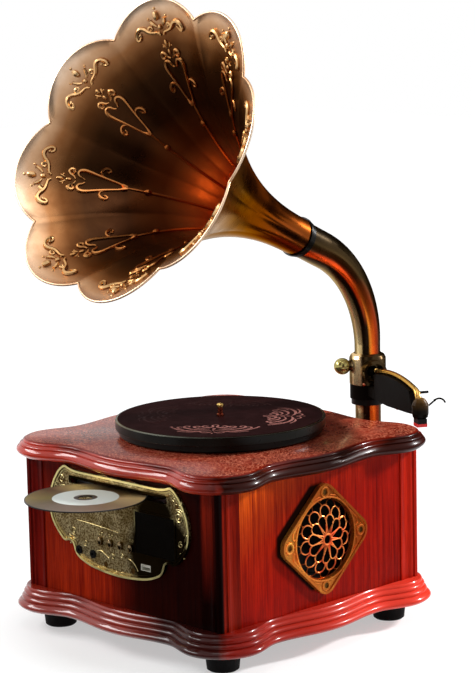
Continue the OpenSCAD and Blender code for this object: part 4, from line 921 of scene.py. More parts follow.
# %% Give out the finishes
finishes = {
    panel_wood: ["front_panel", "right_panel", "left_panel", "back_panel"],
    post_wood: ["post_front_left", "post_front_right", "post_back_left", "post_back_right"],
    board_wood: ["base_board", "top_board"],
    rubber: ["feet", "feed_roller"],
    dark_brass: ["screws", "neck_brackets"],
    antique: ["front_plate"],
    smoked: ["display_window"],
    button_silver: ["button_1", "button_2", "button_3", "button_4"],
    black_plastic: ["audio_sockets", "power_inlet", "cartridge", "side_pin", "speaker_frame_right",
                    "speaker_frame_left", "support_collar"],
    steel: ["drive_chassis", "drive_cover", "motor"],
    port_steel: ["data_socket"],
    circuit: ["control_board", "amplifier_board"],
    disc_coat: ["disc"],
    grille_copper: ["grille_right", "grille_left"],
    rosette_copper: ["rosette_right", "rosette_left"],
    cone_paper: ["speaker_cone_right", "speaker_cone_left"],
    platter_black: ["platter"],
    mat_cloth: ["platter_mat"],
    gold: ["spindle_bush", "motor_pulley", "tonearm_rod"],
    collar_black: ["horn_collar"],
    belt_rubber: ["drive_belt"],
    neck_copper: ["neck_tube", "neck_elbow"],
    horn_outside: ["horn_bell"],
    streaked_brass: ["tonearm_carrier", "lock_knob"],
    arm_black: ["carrier_base", "tonearm_body", "finger_lift", "arm_pin"],
    head_bronze: ["head_shell"],
    spindle_metal: ["spindle"],
    needle_red: ["stylus"],
}
for material, names in finishes.items():
    for name in names:
        nodes[name].material_slots[0].material = material
missed = sorted(set(nodes) - {name for names in finishes.values() for name in names})
print("nodes without a finish:", missed)

# %% [markdown]
# ## Pieces
# Every new piece is made at its place in the frame, unturned. One function makes the object, hangs it on
# what it rides on when the model moves, and hides the CAD node it stands for, if any.

# %% Piece maker


def piece(name, shape, material, body, replaces=(), sharp=30):
    """Turns a finished mesh into an object, hangs it on what it rides on and hides the nodes it stands for.
    """
    if isinstance(shape, bmesh.types.BMesh):
        data = bpy.data.meshes.new(name)
        shape.to_mesh(data)
        shape.free()
    else:
        data = shape
        data.name = name
    data.set_sharp_from_angle(angle=math.radians(sharp))
    data.materials.append(material)
    made = bpy.data.objects.new(name, data)
    scene.collection.objects.link(made)
    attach(made, body)
    if replaces:
        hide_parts(*replaces)
    print(name, len(data.polygons), "faces")
    return made


print("piece maker ready")

# %% [markdown]
# ## Skins
# Turned mouldings, pipes and the horn's bell are all skins over a row of rings. A circle comes from
# an operator and is extruded ring by ring, and each time the new points move to the next ring's
# places. An integer layer on the points remembers which place in the ring is theirs.

# %% Skin helpers


def edges_of(made):
    """The open edges among what an extrusion made."""
    return [part for part in made if isinstance(part, bmesh.types.BMEdge) and part.is_boundary]


def loft(rings, second_from=None):
    """A skin over closed rings of equal count; gives the mesh and the edges of its two open ends.

    From ring second_from on, the faces take the piece's second material."""
    shape = bmesh.new()
    place = shape.verts.layers.int.new("place")
    circle = bmesh.ops.create_circle(shape, segments=len(rings[0]), radius=1)["verts"]
    for number, vert in enumerate(circle):
        vert[place] = number
        vert.co = rings[0][number]
    first = list(shape.edges)
    last = first
    for number, ring in enumerate(rings[1:], 1):
        before = len(shape.faces)
        made = bmesh.ops.extrude_edge_only(shape, edges=last)["geom"]
        last = edges_of(made)
        for part in made:
            if isinstance(part, bmesh.types.BMVert):
                part.co = ring[part[place]]
        shape.faces.ensure_lookup_table()
        for face in shape.faces[before:]:
            face.smooth = True
            face.material_index = int(second_from is not None and number >= second_from)
    return shape, first, last


def close_tube(shape, first, last):
    """Joins the two ends of a skin that comes back to where it started, as a wall does."""
    bmesh.ops.bridge_loops(shape, edges=first + last)
    bmesh.ops.recalc_face_normals(shape, faces=shape.faces)


def close_ends(shape, first, last, holes=()):
    """Flat ends on a skin, with round holes (x, y, radius) from one end to the other."""
    low = first[0].verts[0].co.z
    high = last[0].verts[0].co.z
    lower = list(first)
    upper = list(last)
    for x, y, radius in holes:
        circle = bmesh.ops.create_circle(shape, segments=48, radius=radius,
                                         matrix=Matrix.Translation((x, y, low)))["verts"]
        rim = list({edge for vert in circle for edge in vert.link_edges})
        made = bmesh.ops.extrude_edge_only(shape, edges=rim)["geom"]
        for part in made:
            if isinstance(part, bmesh.types.BMVert):
                part.co.z = high
        lower += rim
        upper += edges_of(made)
    for edges in (lower, upper):
        bmesh.ops.triangle_fill(shape, edges=edges, use_beauty=True)
    bmesh.ops.recalc_face_normals(shape, faces=shape.faces)


print("skin helpers ready")

# %% [markdown]
# ## Wires
# Scrolls, bars and beads are round wires that get thicker and thinner. A curve with a round bevel
# makes them, because each of its points has a radius of its own. They are drawn flat, in mm, and a
# function lays each point on its surface.

# %% Wire helpers


def smooth_line(points, steps=5):
    """More points on a smooth line through the given ones, each a tuple of numbers."""
    line = [tuple(points[0])]
    for i in range(len(points) - 1):
        a = points[max(i - 1, 0)]
        b, c = points[i], points[i + 1]
        d = points[min(i + 2, len(points) - 1)]
        for k in range(1, steps + 1):
            t = k / steps
            line.append(tuple(0.5 * (2 * q + (r - p) * t + (2 * p - 5 * q + 4 * r - s) * t ** 2
                              + (3 * q - p - 3 * r + s) * t ** 3) for p, q, r, s in zip(a, b, c, d)))
    return line


def wire_mesh(paths, resolution=2):
    """One mesh of round wires; a path is a list of (place, radius) and whether it is a closed loop."""
    curve = bpy.data.curves.new("wires", "CURVE")
    curve.dimensions = "3D"
    curve.bevel_depth = 1
    curve.bevel_resolution = resolution
    curve.use_fill_caps = True
    for path, is_loop in paths:
        spline = curve.splines.new("POLY")
        spline.points.add(len(path) - 1)
        for point, (spot, radius) in zip(spline.points, path):
            point.co = (*spot, 1)
            point.radius = radius
        spline.use_cyclic_u = is_loop
    holder = bpy.data.objects.new("wires", curve)
    mesh = bpy.data.meshes.new_from_object(holder)
    bpy.data.objects.remove(holder)
    bpy.data.curves.remove(curve)
    mesh.shade_smooth()
    return mesh


THIN_END = 0.62
BULB_FROM = 0.95


def drawn(points, thick, on, start=0.45, end=1.15, steps=5):
    """A wire through flat points in mm, laid on a surface by on(x, y), that swells and ends in a bulb."""
    line = smooth_line(points, steps)
    path = []
    for i, (x, y) in enumerate(line):
        share = i / (len(line) - 1)
        if share < 0.5:
            size = start + (1 - start) * math.sin(math.pi * share)
        elif share < BULB_FROM:
            size = 1 - (1 - THIN_END) * math.sin(math.pi / 2 * (share - 0.5) / (BULB_FROM - 0.5))
        else:
            size = end
        path.append((on(x, y), thick * size * MM))
    return path, False


def dot(x, y, radius, on, stretch=0.0):
    """A bead on a surface: a wire so short that it is a round grain."""
    sizes = [(-1, 0.25), (-0.8, 0.62), (-0.45, 0.9), (0, 1), (0.45, 0.9), (0.8, 0.62), (1, 0.25)]
    reach_mm = radius * (1 + stretch)
    return [(on(x, y + share * reach_mm), radius * size * MM) for share, size in sizes], False


def mirrored(points):
    """Flat points on the other side of the middle line."""
    return [(-x, y) for x, y in points]


print("wire helpers ready")

# %% [markdown]
# ## Moulded boards
# The base and the top are thick boards with a wavy outline and a moulded edge, as a spindle moulder
# cuts it: a broad round and thinner beads above. Each level of the profile is a ring that follows
# the outline, and the rings are the rows of one skin. The outline swells in the middle of each side,
# draws in to a waist and flares out to a round corner.

# %% Boards
BODY_W = 285
CORNER_R = 47
WAIST_AT = 0.61
BASE_REACH = (20.5, 11, 22.5)


def reach(t, swell, waist, flare):
    """How far a board stands out beyond the body, at share t of the way from mid side to corner."""
    t = abs(t)
    if t < WAIST_AT:
        return (swell + waist) / 2 + (swell - waist) / 2 * math.cos(math.pi * t / WAIST_AT)
    share = (t - WAIST_AT) / (1 - WAIST_AT)
    return (flare + waist) / 2 - (flare - waist) / 2 * math.cos(math.pi * share)


def board_ring(inset, z, less, side_steps=56, corner_steps=12):
    """One level of a board, moved in from its outline, as places in metres."""
    half = BODY_W / 2 + BASE_REACH[2] - less - CORNER_R
    radius = CORNER_R - inset
    ring = []
    for side in range(4):
        turned = Matrix.Rotation(math.radians(90 * side), 4, "Z")
        for i in range(side_steps + 1):
            t = 2 * i / side_steps - 1
            out = BODY_W / 2 - inset + reach(t, *(value - less for value in BASE_REACH))
            ring.append(turned @ Vector((half * t, -out, z)) * MM)
        for i in range(1, corner_steps):
            angle = math.radians(-90 + 90 * i / corner_steps)
            spot = Vector((half + radius * math.cos(angle), -half + radius * math.sin(angle), z))
            ring.append(turned @ spot * MM)
    return ring


def bead(start, end, out, steps):
    """Profile points (inset, height) of a round that bulges out between two points."""
    points = []
    for i in range(steps + 1):
        t = i / steps
        points.append((start[0] + (end[0] - start[0]) * t - out * math.sin(math.pi * t),
                       start[1] + (end[1] - start[1]) * t))
    return points


base_edge = ([(9, 0)] + bead((5, 0.5), (4.2, 9.4), 4.2, 12) + bead((5.2, 9.8), (7, 14.5), 1.5, 6)
             + bead((7.8, 14.9), (8.8, 19.7), 1.4, 6) + bead((9.4, 20.1), (10.5, 23.5), 0.6, 4))
top_edge = ([(9, 0)] + bead((5.4, 0.4), (2.6, 10.6), 3.8, 12) + bead((4, 11), (6.2, 14.2), 1.3, 6)
            + bead((7.4, 14.6), (10.5, 18), 1.5, 7))
BASE_Z = 20.5
TOP_Z = 181
TOP_LESS = 3
SPINDLE_HOLE = (0, 0, 0.008)
MOTOR_HOLE = (-0.0565, 0.0565, 0.007)
boards = [("base_board", base_edge, BASE_Z, 0, ()),
          ("top_board", top_edge, TOP_Z, TOP_LESS, (SPINDLE_HOLE, MOTOR_HOLE))]
for name, edge, board_z, less, holes in boards:
    rings = [board_ring(inset, board_z + height, less) for inset, height in edge]
    shape, first, last = loft(rings)
    close_ends(shape, first, last, holes)
    piece("moulded_" + name, shape, board_wood, "cabinet", [name], sharp=26)

# %% [markdown]
# ## Elbow
# The neck bends over in a smooth pipe that widens towards the horn. It is drawn as rings along the
# bend, up the outside and back down the inside, so the wall has its real thickness.

# %% Elbow
NECK_R = 13.5
END_R = 18.5
NECK_WALL = 1.5


def elbow_ring(share, ahead, less, sides=48):
    """A ring round the elbow: share of the bend, then a straight stretch ahead of it."""
    bent = math.radians(BEND_ANGLE * share)
    centre = Vector((NECK_X, NECK_Y - BEND_R, NECK_TOP))
    centre += Vector((0, BEND_R * math.cos(bent) - ahead * math.sin(bent),
                      BEND_R * math.sin(bent) + ahead * math.cos(bent)))
    radius = NECK_R + (END_R - NECK_R) * share - less
    ring = []
    for k in range(sides):
        a = math.radians(360 * k / sides)
        ring.append((centre + radius * Vector((math.cos(a), math.sin(a) * math.cos(bent),
                                               math.sin(a) * math.sin(bent)))) * MM)
    return ring


elbow_rings = [elbow_ring(i / 30, 0, 0) for i in range(31)] + [elbow_ring(1, LEAD, 0)]
elbow_rings += [elbow_ring(1, LEAD, NECK_WALL)]
elbow_rings += [elbow_ring(i / 30, 0, NECK_WALL) for i in range(30, -1, -1)]
shape, first, last = loft(elbow_rings)
close_tube(shape, first, last)
piece("bent_neck", shape, neck_copper, "cabinet", ["neck_elbow"])

# %% [markdown]
# ## Horn
# The bell of a flower horn is eight petals of thin spun metal with a rolled edge. Every point has an
# angle round the axis and a share of the way from the throat to the rim. The rim's radius changes
# with the angle, so that each petal ends in an arc, and the folds between the petals grow with it.
# The wall has two faces, and a round bead joins them at the rim.

# %% Horn bell
PETALS = 8
PER_PETAL = 24
HORN_LEN = 240
NOTCH_R = 138
TIP_R = 156
TIP_LEAD = 9
FLARE_POWER = 2.28
PETAL_TURN = 13.4
THROAT_R = 19.7
HORN_WALL = 1.2
BELL_GAP = 0.3
BORE_SIDES = 24
SPIGOT_PLAY = 0.05
SPIGOT_DEPTH = 14
SPIGOT_OUT = (END_R - NECK_WALL) * math.cos(math.pi / BORE_SIDES) - SPIGOT_PLAY
SPIGOT_IN = SPIGOT_OUT - NECK_WALL
HALF_PETAL = math.radians(180 / PETALS)
rim_sag = TIP_R - NOTCH_R * math.cos(HALF_PETAL)
rim_arc_r = ((NOTCH_R * math.sin(HALF_PETAL)) ** 2 + rim_sag ** 2) / (2 * rim_sag)
to_horn = Matrix.Translation(horn_start) @ Matrix.Rotation(tilt, 4, "X")


def rim_radius(off):
    """Radius of the rim at an angle from the middle of a petal."""
    centre = TIP_R - rim_arc_r
    return centre * math.cos(off) + math.sqrt(rim_arc_r ** 2 - (centre * math.sin(off)) ** 2)


def meridian(t, off, depth, along=0.0):
    """Radius and height over the throat at share t, moved into the wall and along the surface."""
    rim = rim_radius(off)
    s_end = HORN_LEN + TIP_LEAD * (rim - NOTCH_R) / (TIP_R - NOTCH_R)
    slope = math.atan(FLARE_POWER * (rim - THROAT_R) * t ** (FLARE_POWER - 1) / s_end)
    radius = THROAT_R + (rim - THROAT_R) * t ** FLARE_POWER
    return (radius - depth * math.cos(slope) + along * math.sin(slope),
            s_end * t + depth * math.sin(slope) + along * math.cos(slope) + BELL_GAP)


def horn_place(radius, height, angle):
    """A place in metres from mm and an angle round the horn's axis."""
    return to_horn @ (Vector((radius * math.cos(angle), radius * math.sin(angle), height)) * MM)


def bell_ring(t, depth, along=0.0):
    """A ring round the bell at share t, moved into the wall and along the surface."""
    ring = []
    for k in range(PETALS * PER_PETAL):
        off = math.radians((k % PER_PETAL) * 360 / (PETALS * PER_PETAL))
        off = off - 2 * HALF_PETAL if off > HALF_PETAL else off
        angle = math.radians(360 * k / (PETALS * PER_PETAL) + PETAL_TURN)
        ring.append(horn_place(*meridian(t, off, depth, along), angle))
    return ring


def plain_ring(radius, height):
    """A round ring with as many points as the bell's."""
    count = PETALS * PER_PETAL
    return [horn_place(radius, height, math.radians(360 * k / count + PETAL_TURN)) for k in range(count)]


BELL_STEPS = 46
CLOSER_TO_RIM = 0.8
WALL_END = 0.9925
ROLL_R = 1.25
ROLL_SUNK = 0.05
THROAT_FROM = 3.5
shares = [WALL_END * (i / BELL_STEPS) ** CLOSER_TO_RIM for i in range(BELL_STEPS + 1)]
horn_rings = [plain_ring(SPIGOT_OUT, -SPIGOT_DEPTH), plain_ring(SPIGOT_OUT, BELL_GAP)]
horn_rings += [bell_ring(t, 0) for t in shares]
for degrees in range(-110, 111, 22):
    roll = math.radians(degrees)
    horn_rings.append(bell_ring(1, HORN_WALL / 2 + ROLL_R * math.sin(roll),
                                ROLL_R * math.cos(roll) - ROLL_R - ROLL_SUNK))
horn_rings += [bell_ring(t, HORN_WALL) for t in reversed(shares) if t * HORN_LEN > THROAT_FROM]
horn_rings += [plain_ring(SPIGOT_IN, THROAT_FROM - 0.2), plain_ring(SPIGOT_IN, -SPIGOT_DEPTH)]
shape, first, last = loft(horn_rings, second_from=len(shares) + 3)
close_tube(shape, first, last)
bell = piece("flower_bell", shape, horn_outside, "horn", ["horn_bell"])
bell.data.materials.append(horn_inside)

# %% [markdown]
# ## Ornament inside the horn
# Each petal has the same embossed spray: two big scrolls with a drop between them near the rim, a
# small crown of curls, and a stem that runs down into the throat. It is drawn flat, in mm to the
# side of the petal's middle and in mm down from its tip, and every point is then laid on the bell.

# %% Horn ornament
SAMPLES = 240
WIRE_SUNK = 0.25
WIRE_COVER = 0.12
spots = [Vector((*meridian(i / SAMPLES, 0, HORN_WALL), 0)) for i in range(SAMPLES + 1)]
lengths = [0.0]
for a, b in zip(spots, spots[1:]):
    lengths.append(lengths[-1] + (b - a).length)


def on_petal(number, thick):
    """Gives a function that lays a flat point (side, down) on one petal's inner face.

    A thick wire stands higher, so that it never shows on the outside of the wall."""
    depth = max(HORN_WALL - WIRE_SUNK, thick + WIRE_COVER)

    def on(side, down):
        height = lengths[-1] - down
        i = min(bisect.bisect_left(lengths, height), SAMPLES)
        t = i / SAMPLES - (lengths[i] - height) / (lengths[i] - lengths[i - 1]) / SAMPLES
        off = side / spots[i].x
        radius, s = meridian(t, off, depth)
        return horn_place(radius, s, math.radians(PETAL_TURN + 360 / PETALS * number) + off)
    return on


spray_halves = [
    # The big scroll with a curl at either end
    ([(2.2, 36.5), (4.5, 33.6), (9, 32.2), (13, 30.6), (16.5, 27.6), (20, 23.6), (24.5, 21), (28.8, 21.4),
      (31.2, 24.4), (30.6, 28), (28, 29.2), (26.2, 27.4), (27.2, 25.2)], 2.2),
    ([(6.2, 33.4), (10.5, 32.6), (14, 30), (14.6, 26.8), (12.6, 24.9), (10.2, 25.8), (10, 28.2),
      (11.8, 28.8)], 1.6),
    # Leaves under the drop
    ([(3.4, 27.6), (6, 25.4), (8.2, 22), (9.4, 19.4)], 1.8),
    # Crown of curls
    ([(1.2, 60.5), (4, 58.6), (6, 55), (8.4, 53), (10.6, 54.6), (10.4, 57.6), (8.2, 58.8), (7.2, 57)], 1.8),
    ([(1.2, 50.5), (3.4, 47.6), (4.2, 44.4)], 1.2),
    # Heart that runs on into the stem
    ([(1.2, 69.8), (3, 67.6), (4.4, 64), (7.2, 61.9), (10.2, 63.2), (11.2, 67.6), (10, 74), (8, 82),
      (5.6, 92.5), (3.4, 103), (0.7, 112)], 1.8),
    ([(6.9, 89), (8.8, 85.4), (12.2, 83.4), (15.6, 84.8), (16.6, 88.4), (14.6, 91.2), (12.6, 90),
      (13.2, 88)], 1.6),
]
spray_middles = [
    ([(0, 109), (0, 122), (0, 150), (0, 185), (0, 220), (0, 250)], 1.6),
]
spray_drops = [(0, 9.7, 1.4, 0), (11.5, 17.5, 1.2, 0), (-11.5, 17.5, 1.2, 0), (0, 17, 2.9, 0.6),
               (0, 28.6, 2.2, 0.2), (0, 45, 1.8, 0.9), (0, 54, 1.6, 0.8), (0, 133, 2.8, 0.3),
               (3.6, 33.6, 1.2, 0), (-3.6, 33.6, 1.2, 0), (5.2, 48, 1.0, 0), (-5.2, 48, 1.0, 0)]
spray = []
for number in range(PETALS):
    for points, thick in spray_halves:
        on = on_petal(number, thick)
        spray.append(drawn(points, thick, on, steps=4))
        spray.append(drawn(mirrored(points), thick, on, steps=4))
    for points, thick in spray_middles:
        spray.append(drawn(points, thick, on_petal(number, thick), end=0.5, steps=4))
    for side, down, radius, stretch in spray_drops:
        spray.append(dot(side, down, radius, on_petal(number, radius), stretch))
piece("horn_ornament", wire_mesh(spray, resolution=1), horn_relief, "horn")

# %% [markdown]
# ## Side grilles
# Each grille is a cast lozenge with a rosette of thin rounded bars that rise to the middle. The bars
# are wires: eleven drop-shaped petals round a hub, a ring of loops outside them, and scallops between
# the loops, which end where they meet.

# %% Rosettes
OPEN_R = 41
DOME_FOOT = 1.5
DOME_RISE = 6
BAR_R = 0.8
THIN_BAR_R = 0.55
ROSETTE_PETALS = 11


def on_side(side, height):
    """Gives a function that lays a flat point on a side's face; height is a value or a function."""
    def on(x, y):
        lift = height(math.hypot(x, y)) if callable(height) else height
        return Vector((side * (SIDE_X + lift), side * x, GRILLE_Z + y)) * MM
    return on


def dome_height(radius):
    """How far the rosette's bars stand out at a distance from their middle."""
    return DOME_FOOT + DOME_RISE * (1 - (radius / OPEN_R) ** 2) - BAR_R - 0.2


def around(x, y, radius, start, end, steps):
    """Points on an arc round (x, y), with angles in degrees."""
    spots = []
    for i in range(steps + 1):
        angle = math.radians(start + (end - start) * i / steps)
        spots.append((x + radius * math.cos(angle), y + radius * math.sin(angle)))
    return spots


def rotated(spots, degrees):
    """Flat points turned round the middle."""
    turn = Matrix.Rotation(math.radians(degrees), 2)
    return [tuple(turn @ Vector(spot)) for spot in spots]


DROP_TIP = 25.5
DROP_FILL = 0.88
HUB_R = 5.4
HUB_BAR_R = 1.25
LOOP_AT = 27.6
SCALLOP_AT = 33.4
LOOP_R = 6.7
drop_radius = DROP_TIP * math.sin(math.radians(180 / ROSETTE_PETALS)) * DROP_FILL
drop_at = DROP_TIP - drop_radius
opening = math.degrees(math.acos((drop_radius - BAR_R) / (drop_at - HUB_R)))
drop_line = [(HUB_R, 0), (HUB_R + 1.5, -0.75)]
drop_line += around(drop_at, 0, drop_radius - BAR_R, opening - 180, 180 - opening, 18)
drop_line.append((HUB_R + 1.5, 0.75))
loop_line = around(LOOP_AT, 0, LOOP_R, -124, 124, 16)
scallop_line = around(SCALLOP_AT, 0, LOOP_R, -92, 92, 12)
for side, body_side in ((1, "right"), (-1, "left")):
    on = on_side(side, dome_height)
    paths = [([(on(*spot), HUB_BAR_R * MM) for spot in around(0, 0, HUB_R, 0, 345, 23)], True),
             ([(on(*spot), THIN_BAR_R * MM) for spot in around(0, 0, OPEN_R - 0.8, 0, 355, 71)], True)]
    for i in range(ROSETTE_PETALS):
        petal_angle = 360 * (i + 0.25) / ROSETTE_PETALS
        loop_angle = petal_angle + 180 / ROSETTE_PETALS
        for line, angle, is_loop, thick in ((drop_line, petal_angle, True, BAR_R),
                                            (loop_line, loop_angle, False, BAR_R),
                                            (scallop_line, petal_angle, False, THIN_BAR_R)):
            paths.append(([(on(*spot), thick * MM) for spot in rotated(line, angle)], is_loop))
    piece("rosette_bars_" + body_side, wire_mesh(paths), rosette_copper, "cabinet",
          ["rosette_" + body_side])

# %% [markdown]
# Thin raised lines follow the edges of the casting and curl round the four screws at its tips.

# %% Lines and curls on the grilles
SCREW_X = 51
SCREW_Y = 47.5
LINE_HEIGHT = 4.1
EDGE_OUT = 14
for side, body_side in ((1, "right"), (-1, "left")):
    on = on_side(side, LINE_HEIGHT)
    paths = [([(on(*spot), 0.9 * MM) for spot in around(0, 0, OPEN_R + 1.1, 0, 355, 71)], True)]
    for x, y in ((SCREW_X, 0), (-SCREW_X, 0), (0, SCREW_Y), (0, -SCREW_Y)):
        paths.append(([(on(*spot), 1.0 * MM) for spot in around(x, y, 5, 0, 345, 23)], True))
    for sx, sy in ((1, 1), (-1, 1), (-1, -1), (1, -1)):
        line = []
        for share in (0.16, 0.22, 0.3, 0.5, 0.7, 0.78, 0.84):
            inset = 3.6 + 2.4 * abs(2 * share - 1) ** 3
            spot = Vector((GRILLE_TIP_X, 0)).lerp(Vector((0, GRILLE_TIP_Y)), share)
            spot += grille_edge * (EDGE_OUT - inset)
            line.append((spot.x, spot.y))
        line = [(45.6, 8.6), (44.4, 6.4), (42.6, 7.6)][::-1] + line + [(7.6, 43.4), (6, 41.8), (7.4, 40.2)]
        paths.append(drawn([(sx * x, sy * y) for x, y in line], 0.85, on, steps=4))
    piece("grille_lines_" + body_side, wire_mesh(paths), grille_copper, "cabinet")

# %% [markdown]
# ## Front plate
# The plate is cast brass with an antique finish: dark in the hollows, rubbed bright on the rim. The
# CAD plate has the outline and both steps of the rim. The thin scrolls are raised wires on its face:
# a line above the slot, curls at the upper corners, a spiral with a leaf at the right, and small
# sprigs over the buttons. The lower left and right follow the same hand where the disc hides them.

# %% Scrolls on the plate


def on_plate(x, z):
    """Lays a flat point on the plate's face, so that a wire there stands well out of it."""
    return Vector((x, PLATE_FACE_Y - 0.15, z)) * MM


def curl(x, y, radius, start, turns, end_share=0.25, steps=16):
    """Points of a spiral that winds in from a circle round (x, y); start in degrees."""
    spots = []
    for i in range(steps + 1):
        share = i / steps
        size = radius * (1 - (1 - end_share) * share)
        angle = math.radians(start + 360 * turns * share)
        spots.append((x + size * math.cos(angle), y + size * math.sin(angle)))
    return spots


plate_scrolls = [
    ([(-30, 174.6), (-24.5, 175.6), (-18.6, 176.4), (-12.2, 174.6), (-6, 171.4), (-1, 170.2)], 0.6),
    ([(30, 174.6), (24.5, 175.6), (18.6, 176.4), (12.2, 174.6), (6, 171.4), (1, 170.2)], 0.6),
    # Upper left: a pair of loops and a leaf under them
    (curl(-83.4, 163.6, 5.2, 200, -1.3), 0.7),
    (curl(-91.4, 158.6, 3.6, 20, 1.2), 0.6),
    ([(-78.6, 158), (-81, 153.4), (-86, 150.6), (-91.6, 150.8)], 0.65),
    ([(-79, 157.6), (-84, 156.8), (-88, 153.2)], 0.6),
    ([(-95, 152), (-97, 146), (-97.6, 140), (-96, 134.6)], 0.65),
    (curl(-90.6, 143.6, 4.2, 90, 1.3), 0.6),
    # Right: a spiral, a leaf that curves down beside it and curls at the corner
    (curl(88.6, 150.6, 6.4, 150, -1.7), 0.95),
    ([(84, 157.6), (91, 158.4), (97, 154.6), (99, 147.4), (97.8, 140), (95.6, 134)], 0.85),
    (curl(90.4, 164.4, 3.4, 250, 1.3), 0.65),
    (curl(82.2, 167.6, 3.2, 0, 1.2), 0.6),
    ([(96, 131), (96.4, 124), (93.4, 118), (89, 114.6)], 0.7),
    (curl(90, 123.6, 3.4, 60, 1.3), 0.6),
    # Under the slot
    ([(-62, 124.6), (-46, 124), (-31, 123.2), (-16.4, 122.5), (0.2, 120.8)], 0.42),
    # Lower left, round the sockets
    (curl(-66.6, 112.6, 4.4, 300, -1.4), 0.65),
    ([(-74, 108), (-69, 104.6), (-63.6, 104.8), (-59.6, 108)], 0.6),
    (curl(-49.6, 102.6, 3.4, 200, 1.3), 0.55),
    ([(-33, 96.8), (-27, 98.4), (-21, 96), (-15, 92.6)], 0.55),
    (curl(-9, 95, 3.2, 180, -1.2), 0.5),
    (curl(4.6, 98, 2.8, 0, 1.2), 0.5),
    ([(13, 97), (19, 95.4), (24, 91.4), (27.6, 86.6)], 0.5),
]
for i in range(4):
    sprig_x = -26.6 + 15.1 * i
    plate_scrolls.append((curl(sprig_x - 1.6, 116.2, 1.7, 330, -1.1), 0.4))
    plate_scrolls.append((curl(sprig_x + 1.6, 116.2, 1.7, 210, 1.1), 0.4))
paths = [drawn(points, thick, on_plate, steps=3) for points, thick in plate_scrolls]
for x, z, radius in ((-100.2, 134, 1.1), (99.4, 134, 1.1), (-72, 99, 0.9), (85.6, 163, 0.9),
                     (94.4, 111, 0.9), (-79.6, 170.6, 0.9), (77, 172.2, 0.8), (-4, 80.6, 0.8),
                     (4, 80.6, 0.8)):
    paths.append(dot(x, z, radius, on_plate))
piece("plate_scrolls", wire_mesh(paths, resolution=1), plate_gilt, "cabinet")

# %% [markdown]
# ## Buttons
# The four buttons are domed ovals. The CAD button has a flat face and a flange behind the plate, and
# a squashed sphere on the face gives the dome that catches the light at one side.

# %% Button domes
DOME_OUT = 1.5 * MM
SUNK = 0.3 * MM
FLANGE = 1.4 * MM
OVERLAP = 1.04
for number, body in enumerate(("button_one", "button_two", "button_three", "button_four"), 1):
    low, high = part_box("button_%d" % number)
    centre = Vector(((low[0] + high[0]) / 2, low[1] + SUNK, (low[2] + high[2]) / 2))
    half_x, half_z = (((high[axis] - low[axis]) / 2 - FLANGE) * OVERLAP for axis in (0, 2))
    shape = bmesh.new()
    bmesh.ops.create_uvsphere(shape, u_segments=32, v_segments=20, radius=1)
    squashed = Matrix.Translation(centre) @ Matrix.Diagonal((half_x, DOME_OUT, half_z, 1))
    bmesh.ops.transform(shape, matrix=squashed, verts=shape.verts)
    for face in shape.faces:
        face.smooth = True
    piece("button_dome_%d" % number, shape, button_silver, body)

# %% [markdown]
# ## Platter
# The platter's upper tier has a thin rolled line at its top and at its foot, which catches the lamp
# as a bright hair. The mat carries a printed border of leafy scrolls in four groups. The print is
# drawn once as raised lines, turned four times and pressed nearly flat.

# %% Platter lines and mat print
PLATTER_R = 107.5
rings = [(PLATTER_R - 0.5, 215.5, 0.5), (PLATTER_R - 0.5, 207.5, 0.5), (PLATTER_R - 2.2, 215.9, 0.4)]
paths = []
for radius, z, thick in rings:
    circle = around(0, 0, radius, 0, 357, 119)
    paths.append(([(Vector((x, y, z)) * MM, thick * MM) for x, y in circle], True))
piece("platter_rolled_edges", wire_mesh(paths), platter_edge, "turntable")

MAT_Z = 216.3
PRINT_AT = -50
print_half = [
    ([(0, 44), (3, 48), (2, 54), (5, 58), (11, 57), (12.6, 52.6), (9.6, 50), (7.4, 52.4)], 1.5),
    ([(5, 60), (11, 62.6), (18, 60.6), (21, 55), (17.4, 51.6), (14.6, 54.4), (16.4, 57)], 1.4),
    ([(4, 66), (11, 68.6), (19, 67.6), (27, 62.4), (31, 56), (29.4, 51), (25.6, 52.4), (26.4, 56)], 1.5),
    ([(2, 73), (9, 75.4), (18, 75.6), (27, 73.2), (36, 67.4), (42, 60), (44.4, 54)], 1.6),
    ([(30, 67), (35, 63.6), (37.4, 58.6), (35.4, 55), (32.6, 57)], 1.2),
    ([(12, 77.4), (20, 79.6), (28, 78.6), (35.6, 75.4)], 1.1),
    ([(0.8, 78), (4, 82.6), (9.6, 83.4), (12.4, 80)], 1.0),
]


def on_mat(group_angle):
    """Gives a function that lays a flat point on the mat, in a group at an angle."""
    turn = Matrix.Rotation(math.radians(group_angle - 90), 2)

    def on(x, y):
        spot = turn @ Vector((x, y))
        return Vector((spot.x, spot.y, MAT_Z)) * MM
    return on


paths = []
for group in range(4):
    on = on_mat(PRINT_AT + 88 * group)
    for points, thick in print_half:
        paths.append(drawn(points, thick, on, start=0.3, end=0.9, steps=4))
        paths.append(drawn(mirrored(points), thick, on, start=0.3, end=0.9, steps=4))
    for y, radius in ((64, 1.8), (70, 1.4), (86, 1.2)):
        paths.append(dot(0, y, radius, on, 0.4))
print_mesh = wire_mesh(paths, resolution=1)
flat = Matrix.Translation((0, 0, MAT_Z * MM)) @ Matrix.Diagonal((1, 1, 0.12, 1))
print_mesh.transform(flat @ Matrix.Translation((0, 0, -MAT_Z * MM)))
piece("mat_print", print_mesh, mat_ink, "turntable")

# %% [markdown]
# ## Tonearm
# The rod is a bright tube in a long arch that bends down into the head. The CAD rod is right in size
# but shows its facets at the bend, so it is drawn again as one smooth wire. A small cone closes it at
# the mouth, and a screw holds the web from below.

